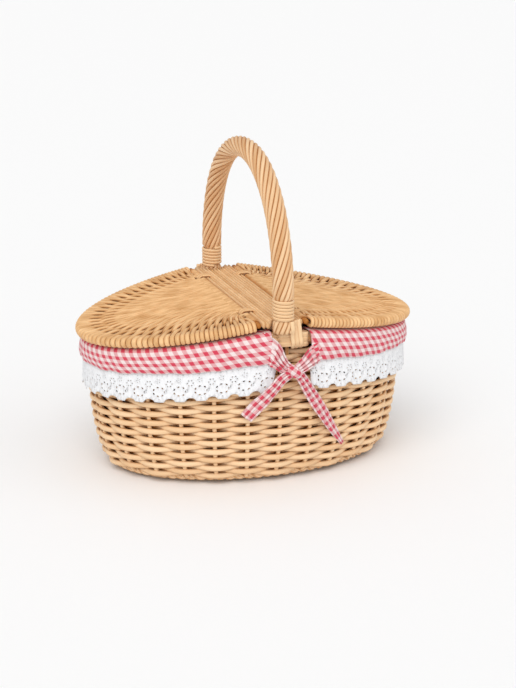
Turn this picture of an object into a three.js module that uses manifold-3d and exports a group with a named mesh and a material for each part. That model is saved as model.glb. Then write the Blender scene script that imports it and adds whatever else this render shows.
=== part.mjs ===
// Oval willow picnic basket: woven body, fixed bow handle, two lids on a centre bar, cotton trim.
// Millimetres, +Z up, front at -Y, origin on the ground under the middle of the body.
import * as THREE from 'three';
import { mergeVertices } from 'three/addons/utils/BufferGeometryUtils.js';
import Module from 'manifold-3d';

const wasm = await Module();
wasm.setup();

// Gap between pieces that rest on or in each other
const SEAT = 0.3;

// How far a cut runs on past the faces that it opens
const CUT = 1;

// Woven body
const BASE_A = 120; // half length of the underside
const RIM_A = 147; // half length outside the wall at its top
const OVAL_DIFF = 45; // half length less half depth
const WALL_H = 129; // top of the weave at the middle of the front
const WALL_T = 10; // stake with a rod before and behind it
const WALL_ROUND = 2.5; // how square the side view's lower corner is
const WALL_LEVELS = 5; // facets up the wall
const LEVEL_POWER = 1.6; // how far they crowd towards the foot
const SHEER_POWER = 5; // how late the weave starts to follow the rim's fall
const ROD_D = 4; // a woven rod
const ROW = 4.2; // height of one row of rods
const COURSE_ROWS = 3; // rows that the wall's solid takes as one course
const COURSE_FLAT = 0.42; // share of a course above and below its middle that bulges most
const WEAVE_SINK = 2.8; // how far a course lies in where it passes between two stakes
const FURROW = 1; // between one course and the next
const STAKE_COVER = 0.6; // left over a stake's slot where a course passes behind it
const BASE_T = 8;
const WALE_H = 7;
const WALE_W = 12;
const WALE_TOP_W = 10;
const STAKES = 26;
const STAKE_D = 4;
const STAKE_CLEAR = 0.5;
const STAKE_SIDES = 4;
const RING_STEPS = 2 * STAKES;

// Border on top of the wall
const RIM_H = 13;
const RIM_W = 13;
const RIM_CHAMFER = 3;

// Cotton trim
const CUFF_T = 1.6;
const CUFF_DROP = 26; // outside, below the rim
const CUFF_TUCK = 13.5; // inside, below the rim
const CUFF_WAVE = 1.2;
const CUFF_WAVES = 13;
const CUFF_FOLLOW = 0.6; // share of the rim's fall that the lower hems follow
const LACE_T = 1;
const LACE_CLEAR = 0.6;
const LACE_UNDERLAP = 4;
const LACE_DROP = 26; // below the cuff's hem
const LACE_WAVE = 1.4;
const SCALLOPS = 40;
const SCALLOP_DEPTH = 4;
const SCALLOP_STEPS = 4;
const LINER_T = 1.2;
const LINER_CLEAR = 1.2;
const SPLIT_NEAR = 11; // the trim's open ends, either side of a handle foot
const SPLIT_FAR = 25;

// Lids
const LID_TILT = 9.5; // degrees, down towards the ends
const LID_PAST_END = 11; // past the top of the wall at the basket's ends
const LID_PAST_SIDE = 6; // and at its front and rear
const LID_PANEL_T = 6.4;
const LID_EDGE_T = 9.3;
const LID_EDGE_ROUND = 2.6;
const LID_BORDER_W = 28;
const LID_GROOVE = 1.2; // depth between two of the lid's ribs
const LID_FAN = 0.93; // share of the panel's depth that its ribs start from
const LID_BORDER_START = 4.5; // from the hinge axis
const LID_REST = 0.5; // gap to the cuff on the rim
const LID_STEPS = 112; // ribs and grooves in turn round the whole oval

// Centre bar and hinges
const BAR_W = 36;
const BAR_T = 6;
const BAR_PAST = 7; // past the middle of the border
const BAR_CORNER = 6;
const CORNER_STEPS = 4;
const BAR_CLEAR = 0.6; // round the handle's feet
const STICK_W = 6;
const STICK_X = 7;
const HINGE_ROD_D = 6;
const HINGE_GAP = 0.6; // rod to bar
const LOOP_T = 1.6;
const LOOP_W = 6;
const LOOP_CLEAR = 0.4;
const LOOP_WEB = 3; // bar left between a loop's slot and the edge
const LOOP_IN = 40; // from the bar's end
const LOOP_STEPS = 8; // facets round each end of a loop

// Handle
const HANDLE_D = 18.5;
const HANDLE_OUT = 6.4; // centre line, outside the middle of the border
const HANDLE_TOP = 293;
const HANDLE_SPRING = 170; // where the legs start to bend
const HANDLE_ROUND = 2.1;
const HANDLE_SIDES = 12;
const HANDLE_STEPS = 36;
const PRONG_D = 3.6;
const PRONG_SPREAD = 5;
const PRONG_OUT = 1.5; // outside the middle of the wall
const PRONG_DEPTH = 38;
const BIND_D = 2.4;
const BIND_PROUD = 0.4; // of the leg, which is necked under it
const BIND_GAP = 0.5;
const BIND_TURNS = 6;
const BIND_STEPS = 24;
const BIND_SIDES = 6;
const LASH_T = 1.6;
const LASH_X = 10;
const LASH_W = 28;
const LASH_H = 12.4;
const LASH_LAP = 0.4; // how far the tongue beds into the band
const TONGUE_W = 9.5;
const TONGUE_TOP_X = 4.5;
const TONGUE_LEAN = 8; // sideways, from the foot down to the hem of the band
const TONGUE_TAIL = 3; // below the band

// Ties
const KNOT_X = 7;
const KNOT_BELOW = 10; // below the cuff's hem
const KNOT_SIZE = [7.2, 4.8, 6.6];
const KNOT_SIDES = 12;
const KNOT_RINGS = 8;
const STRAP_W = 10;
const STRAP_T = 1.4;
const STRAP_RIGHT_X = 45;
const STRAP_LEFT_X = -21;
const STRAP_TOP = 5; // below the rim
const TAIL_W = 9.5;
const TAIL_T = 1.2;
const TAIL_SPLAY = 4; // beside the middle of the knot
const TAIL_LEFT = [-31, 68]; // x and height of the tails' ends
const TAIL_RIGHT = [63, 29];
const TAIL_BOW = 4; // sag of a tail beside its straight line
const RIBBON_STEPS = 8;

// Heights and offsets that follow from these
const tilt = THREE.MathUtils.degToRad(LID_TILT);
const wallBottom = WALE_H + SEAT;
const rimMid = RIM_A - WALL_T / 2;
const rimDeep = rimMid - OVAL_DIFF;
const rimOut = rimMid + RIM_W / 2;
const rimIn = rimMid - RIM_W / 2;
const rimBottom = WALL_H + SEAT;
const rimTop = rimBottom + RIM_H;
const laceIn = rimOut + SEAT;
const cuffIn = laceIn + LACE_T + LACE_CLEAR;
const cuffOut = cuffIn + CUFF_T;
const cuffTop = rimTop + SEAT + CUFF_T;
const cuffLow = rimTop - CUFF_DROP;
const laceTop = cuffLow + LACE_UNDERLAP;
const laceLow = cuffLow - LACE_DROP;
const lidA = RIM_A + LID_PAST_END;
const lidB = RIM_A - OVAL_DIFF + LID_PAST_SIDE;
const barHalf = rimDeep + BAR_PAST;
const loopY = barHalf - LOOP_IN;
const handleY = rimDeep + HANDLE_OUT;
const hingeX = BAR_W / 2 + HINGE_GAP + HINGE_ROD_D / 2;
const hingeZ = cuffTop + LID_REST + LID_EDGE_T / 2;
const barBottom = hingeZ - BAR_T / 2;
const footZ = rimTop + SEAT;
const knotZ = cuffLow - KNOT_BELOW;
const skinOut = cuffOut + CUFF_WAVE + SEAT;

// Outer half length of the wall at a height: a rounded lower corner that runs into a steep side.
function wallA(z) {
  const share = THREE.MathUtils.clamp(1 - z / WALL_H, 0, 1);
  return BASE_A + (RIM_A - BASE_A) * (1 - share ** WALL_ROUND) ** (1 / WALL_ROUND);
}

// Fall of the rim's line, a distance x from the middle, under the slope of the lids.
function sheer(x) {
  return Math.tan(tilt) * (Math.hypot(x, BAR_W / 2) - BAR_W / 2);
}

// A point on the oval of half length a, with its share of the rim's fall.
function onOval(a, angle, z, follow = 0) {
  const x = a * Math.cos(angle);
  return new THREE.Vector3(x, (a - OVAL_DIFF) * Math.sin(angle), z - follow * sheer(x));
}

// A point on the front of the oval of half length a, at a given x.
function onFront(a, x, z) {
  return new THREE.Vector3(x, -(a - OVAL_DIFF) * Math.sqrt(1 - (x / a) ** 2), z);
}

// Angles spaced evenly along the oval, from the middle of the front.
function evenAngles(a, b, count) {
  const curve = new THREE.EllipseCurve(0, 0, a, b, -Math.PI / 2, 1.5 * Math.PI);
  return curve.getSpacedPoints(count).slice(0, count).map((p) => Math.atan2(p.y / b, p.x / a));
}

const ringAngles = evenAngles(rimMid, rimDeep, RING_STEPS);

// Skin over a row of like sections, closed on itself or capped at both ends, with its faces out.
function sweep(sections, closed) {
  const sides = sections[0].length;
  const count = sections.length;
  const faces = [];
  for (let i = 0; i < (closed ? count : count - 1); i += 1) {
    const near = i * sides;
    const far = ((i + 1) % count) * sides;
    for (let j = 0; j < sides; j += 1) {
      const k = (j + 1) % sides;
      faces.push([near + j, far + j, far + k], [near + j, far + k, near + k]);
    }
  }
  if (!closed) {
    const last = (count - 1) * sides;
    for (let j = 1; j < sides - 1; j += 1) {
      faces.push([0, j, j + 1], [last, last + j + 1, last + j]);
    }
  }
  const points = sections.flat();
  const volume = faces.reduce((sum, [a, b, c]) => (
    sum + points[a].dot(new THREE.Vector3().crossVectors(points[b], points[c]))), 0);
  const index = volume > 0 ? faces : faces.map(([a, b, c]) => [a, c, b]);
  const geometry = new THREE.BufferGeometry().setFromPoints(points);
  geometry.setIndex(index.flat());
  return geometry;
}

// A ring round the body: profile holds corners of half length, height and share of the rim's fall.
function ovalRing(profileAt, angles = ringAngles) {
  const sections = angles.map((angle, i) => (
    profileAt(i, angles.length).map(([a, z, follow]) => onOval(a, angle, z, follow))));
  return sweep(sections, true);
}

// A round rod along a path, of one radius or one for each point, with its sides turned alike.
function rod(path, radius, sides, towards) {
  const radii = [radius].flat();
  const sections = path.map((point, i) => {
    const before = path[Math.max(i - 1, 0)];
    const after = path[Math.min(i + 1, path.length - 1)];
    const along = after.clone().sub(before).normalize();
    const side = towards.clone().cross(along).normalize();
    const up = along.clone().cross(side);
    const reach = radii[i % radii.length];
    return Array.from({ length: sides }, (_, j) => {
      const turn = (2 * Math.PI * j) / sides;
      return point.clone()
        .addScaledVector(side, reach * Math.cos(turn))
        .addScaledVector(up, reach * Math.sin(turn));
    });
  });
  return sweep(sections, false);
}

// A flat ribbon along a path on the front of the basket, lying on the surface.
function ribbon(path, width, thickness) {
  const sections = path.map((point, i) => {
    const along = path[Math.min(i + 1, path.length - 1)].clone().sub(path[Math.max(i - 1, 0)]);
    const out = new THREE.Vector3(point.x / rimMid ** 2, point.y / rimDeep ** 2, 0).normalize();
    const across = along.cross(out).normalize();
    return [[-1, 0], [1, 0], [1, 1], [-1, 1]].map(([w, t]) => point.clone()
      .addScaledVector(across, (w * width) / 2)
      .addScaledVector(out, t * thickness));
  });
  return sweep(sections, false);
}

// A closed mesh as a solid for joins and cuts, and back again.
function solid(geometry) {
  const bare = geometry.clone();
  bare.deleteAttribute('normal');
  bare.deleteAttribute('uv');
  const merged = mergeVertices(bare, 1e-4);
  return new wasm.Manifold(new wasm.Mesh({
    numProp: 3,
    vertProperties: new Float32Array(merged.attributes.position.array),
    triVerts: new Uint32Array(merged.index.array),
  }));
}

function meshed(manifold) {
  const { vertProperties, triVerts } = manifold.getMesh();
  const geometry = new THREE.BufferGeometry();
  geometry.setAttribute('position', new THREE.BufferAttribute(new Float32Array(vertProperties), 3));
  geometry.setIndex(Array.from(triVerts));
  return geometry;
}

function box(x0, x1, y0, y1, z0, z1) {
  const geometry = new THREE.BoxGeometry(x1 - x0, y1 - y0, z1 - z0);
  return geometry.translate((x0 + x1) / 2, (y0 + y1) / 2, (z0 + z1) / 2);
}

// A flat outline raised from z0 to z1
function slab(points, z0, z1) {
  const shape = new THREE.Shape(points);
  const geometry = new THREE.ExtrudeGeometry(shape, { depth: z1 - z0, bevelEnabled: false });
  return geometry.translate(0, 0, z0);
}

// Colours of the finishes
const finishes = {
  willow: { color: 0xd8a667, roughness: 0.6 },
  stake: { color: 0xc9934f, roughness: 0.65 },
  lid: { color: 0xd9a968, roughness: 0.6 },
  skein: { color: 0xe6c48f, roughness: 0.55 },
  gingham: { color: 0xdd7f93, roughness: 0.9 },
  lace: { color: 0xf3f3f6, roughness: 0.9 },
};

function piece(name, finish, geometry) {
  const material = new THREE.MeshStandardMaterial({ ...finishes[finish], metalness: 0 });
  const mesh = new THREE.Mesh(geometry, material);
  mesh.name = name;
  return mesh;
}

// Woven body: base, foot wale, wall with its stakes, border

const wallLevels = Array.from({ length: WALL_LEVELS + 1 }, (_, i) => (
  wallBottom + (WALL_H - wallBottom) * (i / WALL_LEVELS) ** LEVEL_POWER));

// Share of the rim's fall at a height of the wall
const wallFollow = (z) => (z / WALL_H) ** SHEER_POWER;

function basePanel() {
  const edge = BASE_A - WALE_W - SEAT;
  return slab(ringAngles.map((angle) => onOval(edge, angle, 0)), 0, BASE_T);
}

function baseWale() {
  const top = wallA(WALE_H);
  return ovalRing(() => [
    [BASE_A - WALE_W, 0],
    [BASE_A, 0],
    [wallA(WALE_H / 3), WALE_H / 3],
    [top, WALE_H],
    [top - WALE_TOP_W, WALE_H],
    [BASE_A - WALE_W, WALE_H / 3],
  ]);
}

// A stake in the middle of the wall, in level slices, carried on past both ends by a length.
function stake(angle, radius, beyond) {
  const path = wallLevels.map((z) => onOval(wallA(z) - WALL_T / 2, angle, z, wallFollow(z)));
  const [first, second] = path;
  const [before, last] = path.slice(-2);
  first.addScaledVector(first.clone().sub(second).normalize(), beyond);
  last.addScaledVector(last.clone().sub(before).normalize(), beyond);
  const sections = path.map((point) => Array.from({ length: STAKE_SIDES }, (_, j) => {
    const turn = angle + (2 * Math.PI * j) / STAKE_SIDES;
    return new THREE.Vector3(radius * Math.cos(turn), radius * Math.sin(turn), 0).add(point);
  }));
  return sweep(sections, false);
}

const stakeAngles = ringAngles.filter((_, i) => i % (RING_STEPS / STAKES) === 0);

// The handle's rods beside the middle stakes, with room round them when they are bored out.
function prong(foot, side, room) {
  const y = foot * (rimDeep + PRONG_OUT);
  const top = footZ + (room > 0 ? CUT : HANDLE_D / 4);
  const bottom = footZ - PRONG_DEPTH - room;
  const radius = PRONG_D / 2 + room;
  const path = [bottom, top].map((z) => new THREE.Vector3(side * PRONG_SPREAD, y, z));
  return solid(rod(path, radius, STAKE_SIDES, new THREE.Vector3(0, foot, 0)));
}

const corners = [[-1, -1], [-1, 1], [1, -1], [1, 1]];

// Middles of the woven courses, up to where the lace hides them
const courseH = COURSE_ROWS * ROW;
const courseLevels = [];
for (let z = WALE_H + (ROD_D - ROW + courseH) / 2; z < laceLow + SCALLOP_DEPTH; z += courseH) {
  courseLevels.push(z);
}

// Corners up the outside of the wall, as distance in and height: at a stake the courses pass before it and
// behind it in turn, and between two stakes they all lie in, with a furrow where one meets the next.
function wovenProfile(column) {
  const behind = (WALL_T - STAKE_D) / 2 - STAKE_CLEAR - STAKE_COVER;
  const at = (share, z) => z + share * courseH;
  const corners = courseLevels.flatMap((z, course) => {
    if (column % 2) {
      return [[WEAVE_SINK, z], [WEAVE_SINK + FURROW, at(0.5, z)]];
    }
    const inward = (column / 2 + course) % 2 ? 0 : behind;
    return [[inward, at(-COURSE_FLAT, z)], [inward, at(COURSE_FLAT, z)]];
  });
  return [[column % 2 ? WEAVE_SINK : 0, wallBottom], ...corners, [0, WALL_H]];
}

// The wall with its courses: upright loops of corners, joined to the next loop in order of their way round.
function wovenRing() {
  const points = [];
  const loops = ringAngles.map((angle, column) => {
    const outside = wovenProfile(column).map(([inward, z]) => [inward, z, z]);
    const inside = wallLevels.map((z) => [WALL_T, z, 3 * WALL_H - z]).reverse();
    const loop = [...outside, ...inside].map(([inward, z, way]) => {
      points.push(onOval(wallA(z) - inward, angle, z, wallFollow(z)));
      return { corner: points.length - 1, way };
    });
    return [...loop, { corner: loop[0].corner, way: Infinity }];
  });
  const faces = [];
  loops.forEach((near, i) => {
    const far = loops[(i + 1) % loops.length];
    let [m, n] = [0, 0];
    while (m < near.length - 1 || n < far.length - 1) {
      const onNear = n === far.length - 1 || (m < near.length - 1 && near[m + 1].way <= far[n + 1].way);
      const next = onNear ? near[m + 1] : far[n + 1];
      faces.push(near[m].corner, far[n].corner, next.corner);
      [m, n] = onNear ? [m + 1, n] : [m, n + 1];
    }
  });
  const geometry = new THREE.BufferGeometry().setFromPoints(points);
  geometry.setIndex(faces);
  return geometry;
}

function wallWeave() {
  let wall = solid(wovenRing());
  for (const angle of stakeAngles) {
    wall = wall.subtract(solid(stake(angle, STAKE_D / 2 + STAKE_CLEAR, CUT)));
  }
  for (const [foot, side] of corners) {
    wall = wall.subtract(prong(foot, side, SEAT));
  }
  return meshed(wall);
}

function rimBorder() {
  const c = RIM_CHAMFER;
  let border = solid(ovalRing(() => [
    [rimIn, rimBottom, 1],
    [rimOut, rimBottom, 1],
    [rimOut, rimTop - c, 1],
    [rimOut - c, rimTop, 1],
    [rimIn + c, rimTop, 1],
    [rimIn, rimTop - c, 1],
  ]));
  for (const [foot, side] of corners) {
    border = border.subtract(prong(foot, side, SEAT));
  }
  return meshed(border);
}

// Cotton trim: liner, cuffs folded over the border, lace below them

function liner() {
  const floor = BASE_T + SEAT;
  const levels = wallLevels.filter((z) => z > floor + LINER_T && z < WALL_H);
  const inset = WALL_T + LINER_CLEAR;
  const top = rimTop - CUFF_TUCK - SEAT;
  const edge = wallA(floor) - inset;
  const side = (off) => [...levels.map((z) => [wallA(z) - off, z, wallFollow(z)]), [RIM_A - off, top, 1]];
  const sections = stakeAngles.map((angle) => [
    [edge, floor, 0],
    ...side(inset),
    ...side(inset + LINER_T).reverse(),
    [edge - LINER_T, floor + LINER_T, 0],
  ].map(([a, z, follow]) => onOval(a, angle, z, follow)));
  const bag = solid(sweep(sections, true));
  const ground = stakeAngles.map((angle) => onOval(edge - LINER_T / 2, angle, 0));
  return meshed(bag.add(solid(slab(ground, floor, floor + LINER_T))));
}

// The side of the split where the left-hand trim lies
function leftOfSplit() {
  const reach = 2 * lidA;
  const slope = (SPLIT_FAR - SPLIT_NEAR) / (2 * (rimOut - OVAL_DIFF));
  const middle = -(SPLIT_NEAR + SPLIT_FAR) / 2;
  return solid(slab([
    new THREE.Vector2(-reach, -reach),
    new THREE.Vector2(middle + slope * reach, -reach),
    new THREE.Vector2(middle - slope * reach, reach),
    new THREE.Vector2(-reach, reach),
  ], 0, HANDLE_TOP));
}

function cuff() {
  const inside = rimIn - SEAT;
  const c = RIM_CHAMFER;
  const ring = ovalRing((i, count) => {
    const wave = (CUFF_WAVE / 2) * (1 + Math.sin((2 * Math.PI * CUFF_WAVES * i) / count));
    return [
      [inside - CUFF_T, rimTop - CUFF_TUCK, 1],
      [inside, rimTop - CUFF_TUCK, 1],
      [inside, rimTop + SEAT - c, 1],
      [inside + c, rimTop + SEAT, 1],
      [cuffIn - c, rimTop + SEAT, 1],
      [cuffIn, rimTop + SEAT - c, 1],
      [cuffIn + wave, cuffLow, CUFF_FOLLOW],
      [cuffOut + wave, cuffLow, CUFF_FOLLOW],
      [cuffOut, cuffTop - c, 1],
      [cuffOut - c, cuffTop, 1],
      [inside - CUFF_T + c, cuffTop, 1],
      [inside - CUFF_T, cuffTop - c, 1],
    ];
  });
  return meshed(solid(ring).intersect(leftOfSplit()));
}

function lace() {
  const angles = evenAngles(rimMid, rimDeep, SCALLOPS * SCALLOP_STEPS);
  const ring = ovalRing((i) => {
    const lobe = Math.abs(Math.sin((Math.PI * i) / SCALLOP_STEPS));
    const low = laceLow + SCALLOP_DEPTH * (1 - lobe);
    const wave = LACE_WAVE * lobe;
    return [
      [laceIn + wave, low, CUFF_FOLLOW],
      [laceIn + LACE_T + wave, low, CUFF_FOLLOW],
      [laceIn + LACE_T, laceTop, CUFF_FOLLOW],
      [laceIn, laceTop, CUFF_FOLLOW],
    ];
  }, angles);
  return meshed(solid(ring).intersect(leftOfSplit()));
}

// Ties at the front: a knot with a strap from each cuff, and two tails

function knotForm(room) {
  const [w, t, h] = KNOT_SIZE;
  const centre = onFront(skinOut + t, KNOT_X, knotZ);
  const ball = new THREE.SphereGeometry(1, KNOT_SIDES, KNOT_RINGS).scale(w + room, t + room, h + room);
  return solid(ball.translate(centre.x, centre.y, centre.z));
}

// A strap that is sewn to the cuff at its start and lies clear of the cuff's waves at the knot
function strap(x) {
  const start = new THREE.Vector2(x, rimTop - STRAP_TOP - sheer(x));
  const end = new THREE.Vector2(KNOT_X, knotZ + KNOT_SIZE[2] / 4);
  const sewn = skinOut - CUFF_WAVE * (1 - (STRAP_TOP + STRAP_W) / CUFF_DROP);
  const path = Array.from({ length: RIBBON_STEPS + 1 }, (_, i) => {
    const share = i / RIBBON_STEPS;
    const p = start.clone().lerp(end, share);
    const out = THREE.MathUtils.lerp(sewn, skinOut + KNOT_SIZE[1] / 2, share);
    return onFront(out, p.x, p.y);
  });
  return solid(ribbon(path, STRAP_W, STRAP_T));
}

function tieKnot() {
  return meshed(knotForm(0).add(strap(STRAP_LEFT_X)).add(strap(STRAP_RIGHT_X)));
}

function tieTail([x, z]) {
  const start = new THREE.Vector2(KNOT_X + Math.sign(x - KNOT_X) * TAIL_SPLAY, knotZ - KNOT_SIZE[2] / 2);
  const end = new THREE.Vector2(x, z);
  const hang = skinOut + KNOT_SIZE[1] / 2;
  const path = Array.from({ length: RIBBON_STEPS + 1 }, (_, i) => {
    const share = i / RIBBON_STEPS;
    const p = start.clone().lerp(end, share);
    p.y -= TAIL_BOW * Math.sin(Math.PI * share);
    const out = THREE.MathUtils.lerp(hang, wallA(p.y + TAIL_W / 2) + SEAT, share);
    return onFront(out, p.x, p.y);
  });
  return meshed(solid(ribbon(path, TAIL_W, TAIL_T)).subtract(knotForm(SEAT)));
}

// Handle: the bow with its rods thrust into the wall, and its bindings

const neckRadius = HANDLE_D / 2 + BIND_PROUD - BIND_D - SEAT;
const neckLow = barBottom + BAR_T;
const bindingRadius = neckRadius + SEAT + BIND_D / 2;
const bindingPitch = BIND_D + BIND_GAP;
const bindingStart = neckLow + SEAT + BIND_D / 2;
const neckHigh = bindingStart + BIND_TURNS * bindingPitch + BIND_D / 2 + SEAT;

function handleCore() {
  const rise = HANDLE_TOP - HANDLE_D / 2 - HANDLE_SPRING;
  const bend = (value) => Math.sign(value) * Math.abs(value) ** (2 / HANDLE_ROUND);
  const arch = Array.from({ length: HANDLE_STEPS + 1 }, (_, i) => {
    const t = (Math.PI * i) / HANDLE_STEPS;
    return new THREE.Vector3(0, -handleY * bend(Math.cos(t)), HANDLE_SPRING + rise * bend(Math.sin(t)));
  });
  const full = HANDLE_D / 2;
  const steps = [[footZ, full], [neckLow, full], [neckLow, neckRadius], [neckHigh, neckRadius], [neckHigh, full]];
  const leg = (side) => steps.map(([z]) => new THREE.Vector3(0, side * handleY, z));
  const legRadii = steps.map(([, radius]) => radius);
  const span = arch.filter((point) => point.z > neckHigh);
  const path = [...leg(-1), ...span, ...leg(1).reverse()];
  const radii = [...legRadii, ...span.map(() => full), ...legRadii.toReversed()];
  let bow = solid(rod(path, radii, HANDLE_SIDES, new THREE.Vector3(1, 0, 0)));
  for (const [end, side] of corners) {
    bow = bow.add(prong(end, side, 0));
  }
  return meshed(bow);
}

// The winding round a foot: one unbroken strand whose ends run on straight for its own thickness.
const bindingPath = (() => {
  const steps = BIND_TURNS * BIND_STEPS;
  const points = Array.from({ length: steps + 1 }, (_, i) => {
    const turn = (2 * Math.PI * i) / BIND_STEPS;
    return new THREE.Vector3(
      bindingRadius * Math.sin(turn),
      -handleY + bindingRadius * Math.cos(turn),
      bindingStart + (bindingPitch * i) / BIND_STEPS,
    );
  });
  const tail = (from, back) => from.clone().add(from.clone().sub(back).setLength(BIND_D));
  return [tail(points[0], points[1]), ...points, tail(points[steps], points[steps - 1])];
})();

function leastGap(path, thickness, apart) {
  let least = Infinity;
  path.forEach((a, i) => path.slice(i + apart).forEach((b) => {
    least = Math.min(least, a.distanceTo(b) - thickness);
  }));
  return least;
}
const bindingGap = leastGap(bindingPath, BIND_D, BIND_STEPS / 2);
console.log(`binding: least gap between its turns ${bindingGap.toFixed(2)} mm`);

const binding = rod(bindingPath, BIND_D / 2, BIND_SIDES, new THREE.Vector3(0, 0, 1));

// The cross lashing below a foot: a band round the border's face under a tongue from the foot.
function footLashing() {
  const inner = rimOut + SEAT;
  const low = rimBottom + (RIM_H - LASH_H) / 2;
  const plate = (x, a, t, z0, z1) => [[a, z0], [a + t, z0], [a + t, z1], [a, z1]]
    .map(([half, z]) => onFront(half, x, z - sheer(x)));
  const band = Array.from({ length: RIBBON_STEPS + 1 }, (_, i) => (
    plate(LASH_X + LASH_W * (i / RIBBON_STEPS - 0.5), inner, LASH_T, low, low + LASH_H)));
  const over = inner + LASH_T - LASH_LAP;
  const top = footZ - SEAT;
  const tongue = [[TONGUE_TOP_X, top], [TONGUE_TOP_X + TONGUE_LEAN, low - TONGUE_TAIL]].map(([x, z]) => (
    [[-1, 0], [-1, 1], [1, 1], [1, 0]].map(([side, t]) => (
      onFront(over + t * LASH_T, x + (side * TONGUE_W) / 2, z)))));
  return meshed(solid(sweep(band, false)).add(solid(sweep(tongue, false))));
}

// Centre bar: a slat between the handle's feet, on two sticks that lie on the border

const loopIn = Math.max(BAR_T, HINGE_ROD_D) / 2 + LOOP_CLEAR;
const loopSink = Math.sqrt(loopIn ** 2 - (BAR_T / 2) ** 2); // reach of a loop's end inside the slat
const slotIn = BAR_W / 2 - LOOP_WEB;
const slotOut = slotIn - (loopIn + LOOP_T - loopSink) - 2 * SEAT;
const loopEnd = slotIn - SEAT + loopSink; // middle of the round end in the slot

// A rectangle round the origin with round corners
function roundedRectangle(w, h, radius, steps) {
  return [[1, 1], [-1, 1], [-1, -1], [1, -1]].flatMap(([sx, sy], quarter) => (
    Array.from({ length: steps + 1 }, (_, i) => {
      const turn = (Math.PI / 2) * (quarter + i / steps);
      return new THREE.Vector2(
        sx * (w / 2 - radius) + radius * Math.cos(turn),
        sy * (h / 2 - radius) + radius * Math.sin(turn),
      );
    })));
}

function barSlat() {
  const outline = roundedRectangle(BAR_W, 2 * barHalf, BAR_CORNER, CORNER_STEPS);
  const top = barBottom + BAR_T;
  let slat = solid(slab(outline, barBottom, top));
  for (const [sx, sy] of corners) {
    const [x0, x1] = [sx * slotIn, sx * slotOut].sort((p, q) => p - q);
    const half = LOOP_W / 2 + SEAT;
    const y = sy * loopY;
    slat = slat.subtract(solid(box(x0, x1, y - half, y + half, barBottom - CUT, top + CUT)));
  }
  for (const end of [-1, 1]) {
    const radius = HANDLE_D / 2 + BAR_CLEAR;
    const hole = new THREE.CylinderGeometry(radius, radius, BAR_T + 2 * CUT, 2 * HANDLE_SIDES);
    hole.rotateX(Math.PI / 2).translate(0, end * handleY, hingeZ);
    slat = slat.subtract(solid(hole));
  }
  return meshed(slat);
}

function barStick(side) {
  const half = handleY - HANDLE_D / 2 - SEAT;
  const x = side * STICK_X;
  return box(x - STICK_W / 2, x + STICK_W / 2, -half, half, rimTop + SEAT, barBottom - SEAT);
}

// A loop of split rod through the slat and round a lid's hinge rod
function hingeLoop(end) {
  const middle = loopIn + LOOP_T / 2;
  const sections = [];
  for (const [x, start] of [[-hingeX, Math.PI / 2], [-loopEnd, -Math.PI / 2]]) {
    for (let i = 0; i <= LOOP_STEPS; i += 1) {
      const turn = start + (Math.PI * i) / LOOP_STEPS;
      sections.push([[-1, -1], [1, -1], [1, 1], [-1, 1]].map(([r, w]) => {
        const radius = middle + (r * LOOP_T) / 2;
        return new THREE.Vector3(
          x + radius * Math.cos(turn),
          end * loopY + (w * LOOP_W) / 2,
          hingeZ + radius * Math.sin(turn),
        );
      }));
    }
  }
  return sweep(sections, true);
}

// A lid, drawn flat about its hinge axis: hinge rod, woven panel and the border laid over its edge

const lidAngles = evenAngles(lidA, lidB, LID_STEPS);

// A corner inside the lid's edge, on a rib or in the groove beside it
function onLid(i, inset, z) {
  const angle = lidAngles[i % LID_STEPS];
  const sunk = z - Math.sign(z) * (i % 2 ? LID_GROOVE : 0);
  return new THREE.Vector3(
    hingeX + (lidA - inset) * Math.cos(angle), (lidB - inset) * Math.sin(angle), sunk);
}

function lidBorder() {
  const edge = LID_EDGE_T / 2;
  const round = LID_EDGE_ROUND;
  const half = [[0, edge - round], [round, edge], [LID_BORDER_W, LID_PANEL_T / 2]];
  const profile = [...half, ...half.map(([inset, z]) => [inset, -z]).reverse()];
  const ring = sweep(lidAngles.map((_, i) => profile.map(([inset, z]) => (
    onLid(i, inset + (i % 2 && inset === 0 ? LID_GROOVE : 0), z)))), true);
  const keep = box(-2 * lidA, -LID_BORDER_START, -lidA, lidA, -lidA, lidA);
  return meshed(solid(ring).intersect(solid(keep)));
}

// The panel's ribs fan out from the middle of the oval to meet the border's, and are cut off at the hinge.
function lidPanel() {
  const flat = LID_PANEL_T / 2;
  const start = -(HINGE_ROD_D / 2 + SEAT);
  const inset = LID_BORDER_W + SEAT;
  const first = LID_STEPS / 2 + 1;
  const last = LID_STEPS - 1;
  const fan = Array.from({ length: last - first + 1 }, (_, k) => {
    const y = (lidB - inset) * LID_FAN * (1 - (2 * k) / (last - first));
    return [flat, -flat].flatMap((z) => {
      const rim = onLid(first + k, inset, z);
      const root = new THREE.Vector3(hingeX, y, rim.z);
      return z > 0 ? [root, rim] : [rim, root];
    });
  });
  const keep = box(-2 * lidA, start, -lidA, lidA, -lidA, lidA);
  let panel = solid(sweep(fan, false)).intersect(solid(keep));
  const depth = loopIn + LOOP_T + HINGE_GAP;
  const half = LOOP_W / 2 + HINGE_GAP;
  for (const end of [-1, 1]) {
    const y = end * loopY;
    panel = panel.subtract(solid(box(-depth, hingeX, y - half, y + half, -lidA, lidA)));
  }
  return meshed(panel);
}

function lidHingeRod() {
  const length = 2 * lidB * Math.sqrt(1 - (hingeX / lidA) ** 2) - LID_EDGE_T;
  return new THREE.CylinderGeometry(HINGE_ROD_D / 2, HINGE_ROD_D / 2, length, HANDLE_SIDES);
}

// The assembly: what lies at the front or the left is repeated half a turn round at the rear or right

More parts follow.
